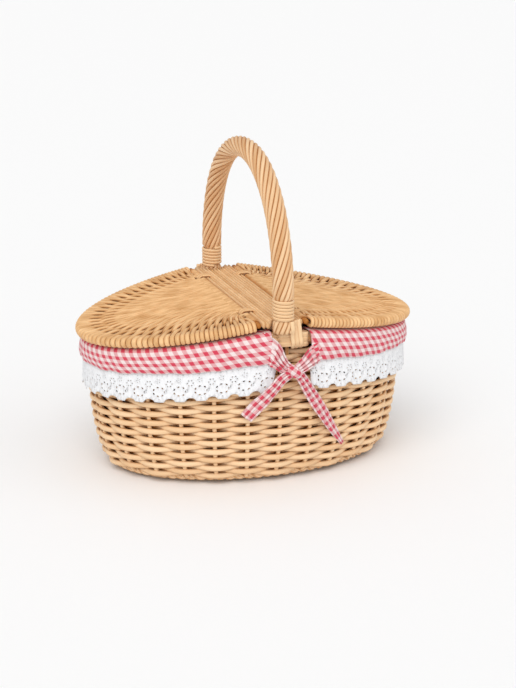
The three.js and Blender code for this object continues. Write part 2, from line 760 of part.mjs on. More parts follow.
const basket = new THREE.Group();
basket.add(piece('base_panel', 'willow', basePanel()));
basket.add(piece('base_wale', 'willow', baseWale()));
basket.add(piece('wall_weave', 'willow', wallWeave()));
stakeAngles.forEach((angle, i) => {
  const number = String(i + 1).padStart(2, '0');
  basket.add(piece(`stake_${number}`, 'stake', stake(angle, STAKE_D / 2, -SEAT)));
});
basket.add(piece('rim_border', 'willow', rimBorder()));
basket.add(piece('liner', 'gingham', liner()));
basket.add(piece('handle_core', 'willow', handleCore()));
basket.add(piece('bar_slat', 'lid', barSlat()));
basket.add(piece('bar_stick_left', 'stake', barStick(-1)));
basket.add(piece('bar_stick_right', 'stake', barStick(1)));

const halves = [
  { side: 'left', end: 'front', other: 'rear', right: 'right', left: 'left', turn: 0 },
  { side: 'right', end: 'rear', other: 'front', right: 'left', left: 'right', turn: Math.PI },
];
for (const { side, end, other, left, right, turn } of halves) {
  const half = new THREE.Group();
  half.rotation.z = turn;
  half.add(piece(`cuff_${side}`, 'gingham', cuff()));
  half.add(piece(`lace_${side}`, 'lace', lace()));
  half.add(piece(`tie_knot_${end}`, 'gingham', tieKnot()));
  half.add(piece(`tie_tail_${end}_${left}`, 'gingham', tieTail(TAIL_LEFT)));
  half.add(piece(`tie_tail_${end}_${right}`, 'gingham', tieTail(TAIL_RIGHT)));
  half.add(piece(`handle_binding_${end}`, 'skein', binding));
  half.add(piece(`foot_lashing_${end}`, 'skein', footLashing()));
  half.add(piece(`hinge_loop_${side}_${end}`, 'skein', hingeLoop(-1)));
  half.add(piece(`hinge_loop_${side}_${other}`, 'skein', hingeLoop(1)));
  const lid = new THREE.Group();
  lid.position.set(-hingeX, 0, hingeZ);
  lid.rotation.y = -tilt;
  lid.add(piece(`lid_${side}_hinge_rod`, 'stake', lidHingeRod()));
  lid.add(piece(`lid_${side}_panel`, 'lid', lidPanel()));
  lid.add(piece(`lid_${side}_border`, 'lid', lidBorder()));
  half.add(lid);
  basket.add(half);
}

export default basket;
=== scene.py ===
"""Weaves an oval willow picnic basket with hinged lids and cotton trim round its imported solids."""

import math
import random

import bmesh
import bpy
from bpy.props import FloatProperty, FloatVectorProperty, IntProperty, PointerProperty
from mathutils import Matrix, Vector


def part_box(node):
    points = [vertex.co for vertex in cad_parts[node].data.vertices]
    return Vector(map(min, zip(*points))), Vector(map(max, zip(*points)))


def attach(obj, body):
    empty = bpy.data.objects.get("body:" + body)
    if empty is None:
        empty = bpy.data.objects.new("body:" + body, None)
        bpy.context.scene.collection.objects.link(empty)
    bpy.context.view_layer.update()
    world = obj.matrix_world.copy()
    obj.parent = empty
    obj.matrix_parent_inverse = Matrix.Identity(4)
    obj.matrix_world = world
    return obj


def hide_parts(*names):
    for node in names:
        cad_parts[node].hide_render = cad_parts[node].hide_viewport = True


bl_info = {
    "name": "Willow Picnic Basket",
    "version": (1, 0, 0),
    "blender": (4, 5, 0),
    "location": "View3D > Sidebar > Basket",
    "description": "Weaves an oval picnic basket with hinged lids and cotton trim",
    "category": "Add Mesh",
}

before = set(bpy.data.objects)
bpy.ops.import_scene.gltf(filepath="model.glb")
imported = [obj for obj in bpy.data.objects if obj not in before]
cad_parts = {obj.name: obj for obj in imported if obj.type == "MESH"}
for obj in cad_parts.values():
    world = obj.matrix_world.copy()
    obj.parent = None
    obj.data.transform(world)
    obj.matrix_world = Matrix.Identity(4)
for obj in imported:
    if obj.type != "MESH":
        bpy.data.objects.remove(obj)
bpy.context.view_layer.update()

BODY = "basket"
LAY = "lay"  # a rod's length and number, or a cloth's width and length
PAINTED_SHADE = "stain"  # how much painted shade a rod carries, 0 to 1: where it lies behind its neighbours, in a gap or inside the bow
ALONG_X = Vector((1, 0, 0))
ALONG_Y = Vector((0, 1, 0))
UP = Vector((0, 0, 1))
AS_BUILT = Matrix.Identity(4)
HALF_TURN = Matrix.Rotation(math.pi, 4, "Z")
HALVES = (("left", AS_BUILT), ("right", HALF_TURN))
SEAT = 0.0003  # gap between a piece and what it rests on
STEPS_PER_STAKE = 10
ROD_SIDES = 8
FINE_SIDES = 6  # of thin and hidden rods

# Ties at the front: x, height, half length of the oval below them, width, depth of fold
LEFT_STRAP = (
    (-0.0170, 0.1305, 0.1497, 0.0260, 0.0005),
    (-0.0102, 0.1255, 0.1532, 0.0230, 0.0014),
    (-0.0052, 0.1182, 0.1548, 0.0140, 0.0017),
    (0.0000, 0.1125, 0.1556, 0.0112, 0.0015),
    (0.0060, 0.1093, 0.1562, 0.0092, 0.0010),
)
RIGHT_STRAP = (
    (0.0400, 0.1215, 0.1485, 0.0195, 0.0005),
    (0.0325, 0.1215, 0.1522, 0.0200, 0.0012),
    (0.0250, 0.1190, 0.1543, 0.0168, 0.0017),
    (0.0178, 0.1138, 0.1556, 0.0120, 0.0015),
    (0.0105, 0.1095, 0.1562, 0.0092, 0.0010),
)
LEFT_TAIL = (
    (0.0050, 0.1078, 0.1560, 0.0080, 0.0010),
    (-0.0035, 0.1025, 0.1560, 0.0090, 0.0012),
    (-0.0098, 0.0948, 0.1552, 0.0092, 0.0010),
    (-0.0170, 0.0865, 0.1538, 0.0112, 0.0007),
    (-0.0245, 0.0780, 0.1512, 0.0122, 0.0006),
    (-0.0325, 0.0675, 0.1483, 0.0112, 0.0005),
)
RIGHT_TAIL = (
    (0.0100, 0.1085, 0.1560, 0.0075, 0.0010),
    (0.0160, 0.1000, 0.1560, 0.0088, 0.0010),
    (0.0230, 0.0885, 0.1545, 0.0102, 0.0008),
    (0.0308, 0.0765, 0.1525, 0.0112, 0.0006),
    (0.0400, 0.0622, 0.1493, 0.0100, 0.0006),
    (0.0495, 0.0478, 0.1457, 0.0076, 0.0005),
    (0.0635, 0.0280, 0.1388, 0.0036, 0.0003),
)

hinge_low, hinge_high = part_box("lid_left_hinge_rod")
bar_low, bar_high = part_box("bar_slat")
handle_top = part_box("handle_core")[1].z


def size(name, description, default):
    return FloatProperty(name=name, description=description, default=default, unit="LENGTH", precision=5)


def ratio(name, description, default):
    return FloatProperty(name=name, description=description, default=default)


def angle_of(name, description, degrees):
    return FloatProperty(name=name, description=description, default=math.radians(degrees), subtype="ANGLE")


def count(name, description, default):
    return IntProperty(name=name, description=description, default=default, min=1)


def colour(name, description, default):
    return FloatVectorProperty(
        name=name, description=description, default=default, subtype="COLOR", min=0, max=1)


class BodySizes(bpy.types.PropertyGroup):
    """Sizes of the woven body"""

    base_half: size("Base", "Half length of the underside", 0.120)
    rim_half: size("Rim", "Half length outside the wall at its top", 0.147)
    oval_difference: size("Oval", "Half length less half depth", 0.045)
    wall_height: size("Wall", "Top of the weave at the middle of the front", 0.129)
    wall_thickness: size("Wall thickness", "Stake with a rod before and behind it", 0.010)
    wall_round: ratio("Wall round", "How square the lower corner of the side view is", 2.5)
    fall: angle_of("Fall", "Slope of the rim towards the ends", 9.5)
    level_half: size("Level middle", "Half length of the rim's level middle", bar_high.x)
    stakes: count("Stakes", "Upright rods round the wall", 26)
    stake_width: size("Stake", "Width of an upright rod", 0.0039)
    stake_depth: size("Stake depth", "Thickness of an upright rod through the wall", 0.0029)
    stake_out: size("Stake out", "Stakes outside the middle of the wall", 0.0009)
    stake_bend: size("Stake bend", "How far a stake bends away from the rods that pass it", 0.0012)
    row_pitch: size("Row", "Height of one row of weave", 0.0042)
    rod_height: size("Weaver", "Height of a woven rod midway between two stakes", 0.0047)
    rod_spread: size("Spread", "How much a rod widens where it passes a stake", 0.0010)
    rod_depth: size("Weaver depth", "Thickness of a woven rod through the wall", 0.0034)
    weave_depth: size("Weave depth", "How far a rod swings before and behind its stakes", 0.0034)
    wale_height: size("Wale", "Height of the foot's twisted course", 0.007)
    border_thickness: size("Border", "Thickness of the border on the wall", 0.013)
    border_rod: size("Border rod", "Thickness of a rod in the border", 0.0052)


class HandleSizes(bpy.types.PropertyGroup):
    """Sizes of the bow handle"""

    foot: size("Foot", "From the middle of the basket to a leg", 0.1034)
    top: size("Top", "Highest point of the bow", handle_top)
    spring: size("Spring", "Height where the legs start to bend", 0.170)
    roundness: ratio("Roundness", "How square the bow is", 2.1)
    thickness: size("Thickness", "Across the twisted rods", 0.0185)
    rods: count("Rods", "Rods in the twist", 12)
    rod: size("Rod", "Thickness of a rod in the twist", 0.0039)
    turns: ratio("Turns", "Turns of the twist from foot to foot", 3.3)
    binding_turns: count("Binding turns", "Turns of skein round a leg", 6)
    binding_pitch: size("Binding pitch", "Rise of one turn of skein", 0.0029)
    skein_thickness: size("Skein", "Thickness of a binding skein", 0.0024)
    binding_proud: size("Binding proud", "How far a binding stands out from its leg", 0.0004)


class LidSizes(bpy.types.PropertyGroup):
    """Sizes of the lids and of the bar between them"""

    hinge_x: size("Hinge", "From the basket's middle to a lid's axis", -(hinge_low.x + hinge_high.x) / 2)
    hinge_z: size("Hinge height", "Height of the lids' axes", (hinge_low.z + hinge_high.z) / 2)
    half_length: size("Lid", "Half length of the lids' oval along the slope", 0.158)
    half_depth: size("Lid depth", "Half depth of the lids' oval", 0.108)
    edge: size("Edge", "Thickness of a lid at its edge", 0.0093)
    panel: size("Panel", "Thickness of a lid inside its border", 0.0064)
    border: size("Border", "Width of the open weave along the edge", 0.030)
    rods: count("Rods", "Rods laid over a lid's edge", 78)
    rod: size("Rod", "Thickness of a lid's rod", 0.0029)
    hinge_rod: size("Hinge rod", "Thickness of a hinge rod", 0.006)
    bar_half: size("Bar", "Half length of the centre bar", bar_high.y)
    bar_rods: count("Bar rods", "Rods side by side in the centre bar", 12)
    loop_y: size("Loop", "From the middle of the bar to a hinge loop", 0.064)


class ClothSizes(bpy.types.PropertyGroup):
    """Sizes of the cotton trim"""

    check: size("Check", "Width of one stripe of the gingham", 0.0040)
    lean: ratio("Lean", "How far the cuffs' checks lean for each unit down", 0.55)
    cotton: size("Cotton", "Thickness of the gingham", 0.0010)
    cuff_drop: size("Cuff", "Hem of the cuff below the border's top", 0.026)
    cuff_tuck: size("Tuck", "Inner hem of the cuff below the border's top", 0.0135)
    lace_drop: size("Lace", "Lace below the cuff's hem", 0.026)
    lace_cotton: size("Lace cotton", "Thickness of the lace", 0.0006)
    hem_follow: ratio("Hem follow", "Share of the rim's fall that the hems follow", 0.6)
    motifs: count("Motifs", "Eyelet flowers on each half", 20)
    split_near: size("Split near", "The trim's end left of the front foot", 0.011)
    split_far: size("Split far", "The trim's end right of the front foot", 0.025)
    drawn: size("Drawn", "How far the left trim is drawn towards the knot", 0.0065)
    knot_x: size("Knot", "The front knot, right of the foot", 0.0078)
    knot_z: size("Knot height", "Height of the knots", 0.1085)
    knot_out: size("Knot out", "Half length of the oval that the knots lie on", 0.1566)
    knot_lean: angle_of("Knot lean", "Turn of the front knot, down to the right", 38)


class BasketColours(bpy.types.PropertyGroup):
    """Colours of the finishes"""

    willow: colour("Willow", "Peeled rod in the light", (0.95, 0.685, 0.425))
    willow_deep: colour("Deep willow", "Darker rods and streaks", (0.79, 0.49, 0.255))
    lid: colour("Lid", "Fine rods of the lids", (0.93, 0.60, 0.305))
    lid_deep: colour("Deep lid", "Darker rods of the lids", (0.64, 0.345, 0.135))
    skein: colour("Skein", "Split and shaved rod", (0.95, 0.68, 0.405))
    # Painted shade: the liner's outside, near-black so the gaps of the weave look shaded
    shade_backing: colour("Shade backing", "Near-black outside of the liner, painted shade in the gaps", (0.085, 0.040, 0.018))
    # Painted shade: the dark colour laid on rods in gaps and behind others, in place of their shadow
    stain: colour("Stain", "Painted shade between the rods and behind them", (0.48, 0.18, 0.032))
    red: colour("Red", "Gingham's dyed thread", (0.68, 0.052, 0.095))
    white: colour("White", "Gingham's plain thread", (0.90, 0.765, 0.75))
    lace: colour("Lace", "Bleached cotton", (0.90, 0.905, 0.92))
    floor: colour("Floor", "Studio floor", (0.96, 0.96, 0.96))


class StageSizes(bpy.types.PropertyGroup):
    """Camera and floor"""

    azimuth: angle_of("Azimuth", "Camera to the right of the front", -18.576)
    elevation: angle_of("Elevation", "Camera above the level", 16.714)
    distance: size("Distance", "Camera to its target", 1.505)
    target_x: size("Target", "Right of the middle of the basket", 0.01216)
    target_z: size("Target height", "Above the floor", 0.10132)
    lens: ratio("Lens", "Focal length in millimetres", 85.76)
    floor_half: size("Floor", "Half the side of the floor", 14.0)


# Shape of the body

def wall_half(body, z):
    """Outer half length of the wall at a height."""
    share = min(max(1 - z / body.wall_height, 0), 1)
    swell = (1 - share ** body.wall_round) ** (1 / body.wall_round)
    return body.base_half + (body.rim_half - body.base_half) * swell


def sheer(body, x):
    """Fall of the rim's line a distance x from the middle."""
    return math.tan(body.fall) * (math.hypot(x, body.level_half) - body.level_half)


def on_oval(body, half, angle, z, follow=0.0):
    """A point on the oval of a half length, with its share of the rim's fall."""
    x = half * math.cos(angle)
    return Vector((x, (half - body.oval_difference) * math.sin(angle), z - follow * sheer(body, x)))


def on_front(body, half, x, z):
    """A point on the front of the oval of a half length."""
    return Vector((x, -(half - body.oval_difference) * math.sqrt(1 - (x / half) ** 2), z))


def border_half(body):
    return body.rim_half - body.wall_thickness / 2


def border_middle(body):
    return body.wall_height + SEAT + body.border_thickness / 2


def border_top(body):
    return body.wall_height + SEAT + body.border_thickness


def outward(body, point):
    """Level direction away from the body at a point near the border's oval."""
    half = border_half(body)
    return Vector((point.x / half ** 2, point.y / (half - body.oval_difference) ** 2, 0)).normalized()


# Lines

def smooth(low, high, value):
    share = min(max((value - low) / (high - low), 0), 1)
    return share * share * (3 - 2 * share)


def mixed(a, b, share):
    return a + (b - a) * share


def straight(start, end, steps):
    """Points from start to end."""
    return [start.lerp(end, i / steps) for i in range(steps + 1)]


def measured(points):
    """Distance of each point of a line from its start."""
    marks = [0.0]
    for a, b in zip(points, points[1:]):
        marks.append(marks[-1] + (b - a).length)
    return marks


def spaced(marks, count):
    """Equal distances along a measured line: for each its span and its share of that span."""
    places = []
    k = 0
    for i in range(count + 1):
        goal = marks[-1] * i / count
        while k < len(marks) - 2 and marks[k + 1] < goal:
            k += 1
        places.append((k, (goal - marks[k]) / (marks[k + 1] - marks[k])))
    return places


def even_angles(half, deep, count, start=-math.pi / 2, sweep=2 * math.pi):
    """Angles at equal distances along an oval, with both ends of an open sweep."""
    fine = 40 * count
    turns = [start + sweep * i / fine for i in range(fine + 1)]
    marks = [0.0]
    for a, b in zip(turns, turns[1:]):
        step = math.hypot(half * (math.cos(b) - math.cos(a)), deep * (math.sin(b) - math.sin(a)))
        marks.append(marks[-1] + step)
    return [mixed(turns[k], turns[k + 1], share) for k, share in spaced(marks, count)]


def ring_angles(body, count):
    """Angles evenly round the border, from the middle of the front."""
    half = border_half(body)
    return even_angles(half, half - body.oval_difference, count)[:-1]


def headings(path, closed=False):
    """Direction of a path at each of its points."""
    last = len(path) - 1
    ways = []
    for i, here in enumerate(path):
        before = path[i - 1] if closed or i > 0 else here
        after = path[(i + 1) % len(path)] if closed or i < last else here
        ways.append((after - before).normalized())
    return ways


# Meshes

def at_stations(value, stations):
    """One value for each station of a path."""
    return value if isinstance(value, list) else [value] * stations


class RodBundle:
    """A mesh of rods; the lay map holds each rod's length and number."""

    def __init__(self):
        self.mesh = bmesh.new()
        self.lay = self.mesh.loops.layers.uv.new(LAY)
        self.stain = self.mesh.verts.layers.float.new(PAINTED_SHADE)
        self.number = 0

    def add(self, path, width, up=UP, sides=ROD_SIDES, closed=False, height=None, stain=0.0,
            edge_shade=None):
        """Rolls a grid into a rod along a path. Its sizes may change along it; height lies along up."""
        stations = len(path)
        spans = stations if closed else stations - 1
        widths = at_stations(width, stations)
        heights = at_stations(width if height is None else height, stations)
        ups = at_stations(up, stations)
        painted_shades = at_stations(stain, stations)
        edge_shades = painted_shades if edge_shade is None else edge_shade
        ways = headings(path, closed)
        frames = []
        length = 0.0
        for i in range(spans + 1):
            k = i % stations
            side = ups[k].cross(ways[k]).normalized()
            lift = ways[k].cross(side)
            frames.append((path[k], side * widths[k] / 2, lift * heights[k] / 2, painted_shades[k], edge_shades[k]))
            length += (path[k] - path[k - 1]).length if i else 0.0
        mesh = self.mesh
        grid = bmesh.ops.create_grid(mesh, x_segments=spans, y_segments=sides, size=1, calc_uvs=True)
        verts = grid["verts"]
        faces = {face for vert in verts for face in vert.link_faces}
        for vert in verts:
            here, side, lift, middle, edge = frames[round((vert.co.x + 1) / 2 * spans)]
            turn = -math.pi * (vert.co.y + 1)
            # Painted shade at this point of the rod, blended from its middle to its upper and lower edges
            vert[self.stain] = mixed(middle, edge, abs(math.sin(turn)))
            vert.co = here + side * math.cos(turn) + lift * math.sin(turn)
        for face in faces:
            face.smooth = True
            for loop in face.loops:
                along, around = loop[self.lay].uv
                loop[self.lay].uv = (along * length, self.number + 0.01 + 0.98 * around)
        bmesh.ops.remove_doubles(mesh, verts=verts, dist=1e-7)
        if not closed:
            rim = {edge for face in faces for edge in face.edges if edge.is_boundary}
            caps = bmesh.ops.holes_fill(mesh, edges=list(rim), sides=0)["faces"]
            for face in caps:
                for loop in face.loops:
                    loop[self.lay].uv = (0, self.number + 0.5)
        self.number += 1

    def twist(self, path, rods, radius, thickness, turns, up, closed=False, sides=FINE_SIDES):
        """Rods twisted round a path, right-handed."""
        ways = headings(path, closed)
        spans = len(path) if closed else len(path) - 1
        radii = at_stations(radius, len(path))
        for rod in range(rods):
            strand = []
            lifts = []
            for i, (here, along) in enumerate(zip(path, ways)):
                side = (up - along * up.dot(along)).normalized()
                turn = 2 * math.pi * (rod / rods + turns * i / spans)
                lift = side * math.cos(turn) + along.cross(side) * math.sin(turn)
                strand.append(here + lift * radii[i])
                lifts.append(lift)
            self.add(strand, thickness, up=lifts, sides=sides, closed=closed)

    def place(self, matrix):
        bmesh.ops.transform(self.mesh, matrix=matrix, verts=self.mesh.verts)


def linked(name, data):
    """A new object in the scene."""
    made = bpy.data.objects.new(name, data)
    bpy.context.scene.collection.objects.link(made)
    return made


def mesh_object(name, mesh, material):
    data = bpy.data.meshes.new(name)
    mesh.to_mesh(data)
    mesh.free()
    data.materials.append(material)
    return linked(name, data)


def show(name, mesh, material, nodes, body=BODY):
    """Makes a piece of a mesh: it rides on a body and stands for its nodes."""
    piece = mesh_object(name, mesh, material)
    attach(piece, body)
    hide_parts(*nodes)
    return piece


def show_rods(name, rods, material, nodes, body=BODY):
    bmesh.ops.recalc_face_normals(rods.mesh, faces=rods.mesh.faces)
    return show(name, rods.mesh, material, nodes, body)


def cloth(place, width, length, across, along, closed=False, lean=0.0):
    """A grid of cloth: place takes its shares across and along. The lay map is in metres and may lean."""
    mesh = bmesh.new()
    lay = mesh.loops.layers.uv.new(LAY)
    grid = bmesh.ops.create_grid(mesh, x_segments=along, y_segments=across, size=1, calc_uvs=True)
    for face in mesh.faces:
        face.smooth = True
        for loop in face.loops:
            share = loop[lay].uv.copy()
            loop[lay].uv = (share.x * length + lean * share.y * width, share.y * width)
    for vert in grid["verts"]:
        vert.co = place((vert.co.y + 1) / 2, (vert.co.x + 1) / 2)
    if closed:
        bmesh.ops.remove_doubles(mesh, verts=mesh.verts, dist=1e-6)
    return mesh


def thicken(piece, thickness):
    solidify = piece.modifiers.new("Cloth thickness", "SOLIDIFY")
    solidify.thickness = thickness
    solidify.offset = 0
    return solidify


# Materials

def feed(tree, sockets, values):
    """Links each socket to its value, or sets it."""
    for socket, value in zip(sockets, values):
        if isinstance(value, bpy.types.NodeSocket):
            tree.links.new(value, socket)
        else:
            socket.default_value = value


def maths(tree, operation, *values):
    node = tree.nodes.new("ShaderNodeMath")
    node.operation = operation
    feed(tree, node.inputs, values)
    return node.outputs[0]


def clamped(tree, value):
    node = tree.nodes.new("ShaderNodeClamp")
    tree.links.new(value, node.inputs[0])
    return node.outputs[0]


def combined(tree, *values):
    node = tree.nodes.new("ShaderNodeCombineXYZ")
    feed(tree, node.inputs, values)
    return node.outputs[0]


def separated(tree, vector):
    node = tree.nodes.new("ShaderNodeSeparateXYZ")
    tree.links.new(vector, node.inputs[0])
    return node.outputs[0], node.outputs[1]


def noise(tree, detail, *ways):
    """Soft noise over up to three values, each given with its scale."""
    node = tree.nodes.new("ShaderNodeTexNoise")
    node.inputs["Scale"].default_value = 1
    node.inputs["Detail"].default_value = detail
    place = combined(tree, *[maths(tree, "MULTIPLY", value, scale) for value, scale in ways])
    tree.links.new(place, node.inputs["Vector"])
    return node.outputs[0]


def blended(tree, share, first, second, blend="MIX"):
    node = tree.nodes.new("ShaderNodeMix")
    node.data_type = "RGBA"
    node.blend_type = blend
    colours = [socket for socket in node.inputs if socket.type == "RGBA"]
    feed(tree, [node.inputs[0], *colours], [share, first, second])
    return next(socket for socket in node.outputs if socket.type == "RGBA")


def new_group(name, inputs, outputs):
    """A shader group with named sockets; inputs give their defaults."""
    tree = bpy.data.node_groups.new(name, "ShaderNodeTree")
    for label, kind, default in inputs:
        socket = tree.interface.new_socket(label, in_out="INPUT", socket_type=f"NodeSocket{kind}")
        if default is not None:
            socket.default_value = default
    for label, kind in outputs:
        tree.interface.new_socket(label, in_out="OUTPUT", socket_type=f"NodeSocket{kind}")
    return tree, tree.nodes.new("NodeGroupInput").outputs, tree.nodes.new("NodeGroupOutput").inputs


def willow_grain():
    """Tone of each rod, slow drift and fine streaks along it, and painted shade where rods touch and where
    a rod's painted shade attribute lies.
    """
    name = "Willow grain"
    if name in bpy.data.node_groups:
        return bpy.data.node_groups[name]
    tree, given, out = new_group(
        name,
        [
            ("Lay", "Vector", None),
            ("Light", "Color", (1, 1, 1, 1)),
            ("Deep", "Color", (0.5, 0.5, 0.5, 1)),
            ("Stain", "Color", (0, 0, 0, 1)),
            ("Touch", "Float", 0.25),
            ("Stain share", "Float", 0.7),
            ("Sunk", "Float", 0.0),
            ("Along", "Float", 11.0),
            ("Across", "Float", 3.7),
            ("Rod tone", "Float", 0.55),
            ("Drift tone", "Float", 0.9),
        ],
        [("Colour", "Color"), ("Roughness", "Float"), ("Height", "Float")],
    )
    length, lay = separated(tree, given["Lay"])
    number = maths(tree, "FLOOR", lay)
    around = maths(tree, "FRACT", lay)
    dice = tree.nodes.new("ShaderNodeTexWhiteNoise")
    dice.noise_dimensions = "1D"
    tree.links.new(number, dice.inputs["W"])
    slow = noise(tree, 2, (length, given["Along"]), (number, given["Across"]))
    fine = noise(tree, 4, (length, 90), (around, 9), (number, 1.9))
    tone = 0.55
    for wave, weight in ((dice.outputs[0], given["Rod tone"]), (slow, given["Drift tone"]), (fine, 0.9)):
        tone = maths(tree, "MULTIPLY_ADD", maths(tree, "SUBTRACT", wave, 0.5), weight, tone)
    body = blended(tree, clamped(tree, tone), given["Deep"], given["Light"])
    # Painted shade: darker along the lines where a rod meets its neighbours, and where it lies sunk or in a
    # gap
    turn = maths(tree, "SUBTRACT", around, given["Touch"])
    near = maths(tree, "ABSOLUTE", maths(tree, "COSINE", maths(tree, "MULTIPLY", turn, 2 * math.pi)))
    touch = maths(tree, "MULTIPLY", maths(tree, "POWER", near, 5), given["Stain share"])
    with_shade = blended(tree, maths(tree, "MAXIMUM", touch, given["Sunk"]), body, given["Stain"])
    tree.links.new(with_shade, out["Colour"])
    tree.links.new(maths(tree, "MULTIPLY_ADD", fine, 0.3, 0.36), out["Roughness"])
    tree.links.new(fine, out["Height"])
    return tree


def cotton_weave():
    """Plain weave of cotton thread, with slubs that darken it a little."""
    name = "Cotton weave"
    if name in bpy.data.node_groups:
        return bpy.data.node_groups[name]
    tree, given, out = new_group(
        name,
        [("Lay", "Vector", None), ("Plain", "Color", (1, 1, 1, 1)), ("Thread", "Float", 0.0005)],
        [("Colour", "Color"), ("Height", "Float")],
    )
    across, along = separated(tree, given["Lay"])
    waves = []
    for way in (across, along):
        turn = maths(tree, "MULTIPLY", maths(tree, "DIVIDE", way, given["Thread"]), math.pi)
        waves.append(maths(tree, "SINE", turn))
    weave = maths(tree, "MULTIPLY_ADD", maths(tree, "MULTIPLY", *waves), 0.5, 0.5)
    slub = noise(tree, 3, (across, 900), (along, 260))
    shade = maths(tree, "MULTIPLY_ADD", slub, 0.18, 0.85)
    shade = maths(tree, "MULTIPLY_ADD", weave, 0.06, shade)
    shaded = blended(tree, 1, given["Plain"], combined(tree, shade, shade, shade), "MULTIPLY")
    tree.links.new(shaded, out["Colour"])
    tree.links.new(maths(tree, "MULTIPLY_ADD", slub, 0.4, weave), out["Height"])
    return tree


def new_material(name):
    """A material with its shader and its lay map."""
    material = bpy.data.materials.new(name)
    material.use_nodes = True
    tree = material.node_tree
    lay = tree.nodes.new("ShaderNodeUVMap")
    lay.uv_map = LAY
    return material, tree, tree.nodes["Principled BSDF"], lay.outputs[0]


def set_shader(shader, **values):
    """Sets sockets that are the same all over a surface."""
    for label, value in values.items():
        shader.inputs[label.replace("_", " ")].default_value = value


def place_group(tree, group, **values):
    node = tree.nodes.new("ShaderNodeGroup")
    node.node_tree = group
    feed(tree, [node.inputs[label.replace("_", " ")] for label in values], values.values())
    return node.outputs


def bumped(tree, height, distance, shader):
    bump = tree.nodes.new("ShaderNodeBump")
    bump.inputs["Distance"].default_value = distance
    tree.links.new(height, bump.inputs["Height"])
    tree.links.new(bump.outputs[0], shader.inputs["Normal"])


def willow(name, light, deep, touch, share, **drift):
    """Peeled willow, thinly lacquered; drift is how its tone changes along a rod and from rod to rod."""
    label = f"peeled_willow_{name}"
    if label in bpy.data.materials:
        return bpy.data.materials[label]
    material, tree, shader, lay = new_material(label)
    # The painted shade colour, laid on where rods touch and where a rod's painted shade attribute asks for
    # it
    stain = bpy.context.scene.basket_colours.stain
    sunk = tree.nodes.new("ShaderNodeAttribute")
    sunk.attribute_name = PAINTED_SHADE
    grain = place_group(
        tree, willow_grain(), Lay=lay, Light=(*light, 1), Deep=(*deep, 1), Stain=(*stain, 1),
        Touch=touch, Stain_share=share, Sunk=sunk.outputs["Fac"], **drift)
    tree.links.new(grain["Colour"], shader.inputs["Base Color"])
    tree.links.new(grain["Roughness"], shader.inputs["Roughness"])
    set_shader(shader, Specular_IOR_Level=0.25, Coat_Weight=0.04, Coat_Roughness=0.35)
    bumped(tree, grain["Height"], 0.0002, shader)
    return material


def rod_willow(touch=0.25, share=0.7):
    """Rods of the body; touch is the turn at which they meet, share how much painted shade falls there."""
    colours = bpy.context.scene.basket_colours
    name = f"rods_{round(touch * 100)}_{round(share * 100)}"
    return willow(name, colours.willow, colours.willow_deep, touch, share)


def shaded_bow_willow():
    """Rods of the bow, darker than the wall's as painted shade, and more streaked."""
    colours = bpy.context.scene.basket_colours
    light = mixed(Vector(colours.willow), Vector(colours.willow_deep), 0.30)
    deep = mixed(Vector(colours.willow_deep), Vector(colours.stain), 0.35)
    return willow("handle", light, deep, 0.0, 0.95, Rod_tone=0.8, Drift_tone=1.5)


def skein_willow():
    colours = bpy.context.scene.basket_colours
    deep = mixed(Vector(colours.willow_deep), Vector(colours.skein), 0.4)
    return willow("skein", colours.skein, deep, 0.0, 0.3)


def lid_willow():
    colours = bpy.context.scene.basket_colours
    drift = {"Along": 50.0, "Across": 0.35, "Rod_tone": 0.25, "Drift_tone": 2.4}
    return willow("lid", colours.lid, colours.lid_deep, 0.0, 0.45, **drift)


def bar_willow():
    colours = bpy.context.scene.basket_colours
    light = mixed(Vector(colours.skein), Vector(colours.lid), 0.5)
    return willow("bar", light, colours.lid_deep, 0.0, 0.15, Along=40.0, Across=0.8)


def cotton(label, plain, thread, rise, roughness=0.9, sheen=0.15):
    """Woven cotton. Plain is its colour, or a function that draws one from the tree and the lay map."""
    if label in bpy.data.materials:
        return bpy.data.materials[label]
    material, tree, shader, lay = new_material(label)
    dye = plain(tree, lay) if callable(plain) else (*plain, 1)
    weave = place_group(tree, cotton_weave(), Lay=lay, Plain=dye, Thread=thread)
    tree.links.new(weave["Colour"], shader.inputs["Base Color"])
    set_shader(shader, Roughness=roughness, Sheen_Weight=sheen)
    bumped(tree, weave["Height"], rise, shader)
    return material


def stripe(tree, way, width):
    """Soft-edged stripes of a width, one dyed and one plain."""
    share = maths(tree, "FRACT", maths(tree, "DIVIDE", way, 2 * width))
    off = maths(tree, "ABSOLUTE", maths(tree, "SUBTRACT", share, 0.5))
    return clamped(tree, maths(tree, "MULTIPLY_ADD", off, -16, 4.5))


def checks(tree, lay):
    """Dyed stripes both ways, darkest where they cross."""
    colours = bpy.context.scene.basket_colours
    width = bpy.context.scene.basket_cloth.check
    dyed = maths(tree, "ADD", *[stripe(tree, way, width) for way in separated(tree, lay)])
    return blended(tree, maths(tree, "MULTIPLY", dyed, 0.5), (*colours.white, 1), (*colours.red, 1))


def gingham():
    """Red and white checked cotton."""
    return cotton("gingham_cotton", checks, thread=0.0005, rise=0.00012)


def lace_cotton():
    """Bleached cotton of the lace."""
    return cotton("lace_cotton", bpy.context.scene.basket_colours.lace, thread=0.0006, rise=0.0001)


def shade_backing():
    """Near-black calico on the outside of the liner: a dark sheet that paints shade into the gaps of the
    weave.
    """
    brown = bpy.context.scene.basket_colours.shade_backing
    return cotton("liner_shade_backing", brown, thread=0.0007, rise=0.0001, roughness=0.95, sheen=0.0)


# Operators

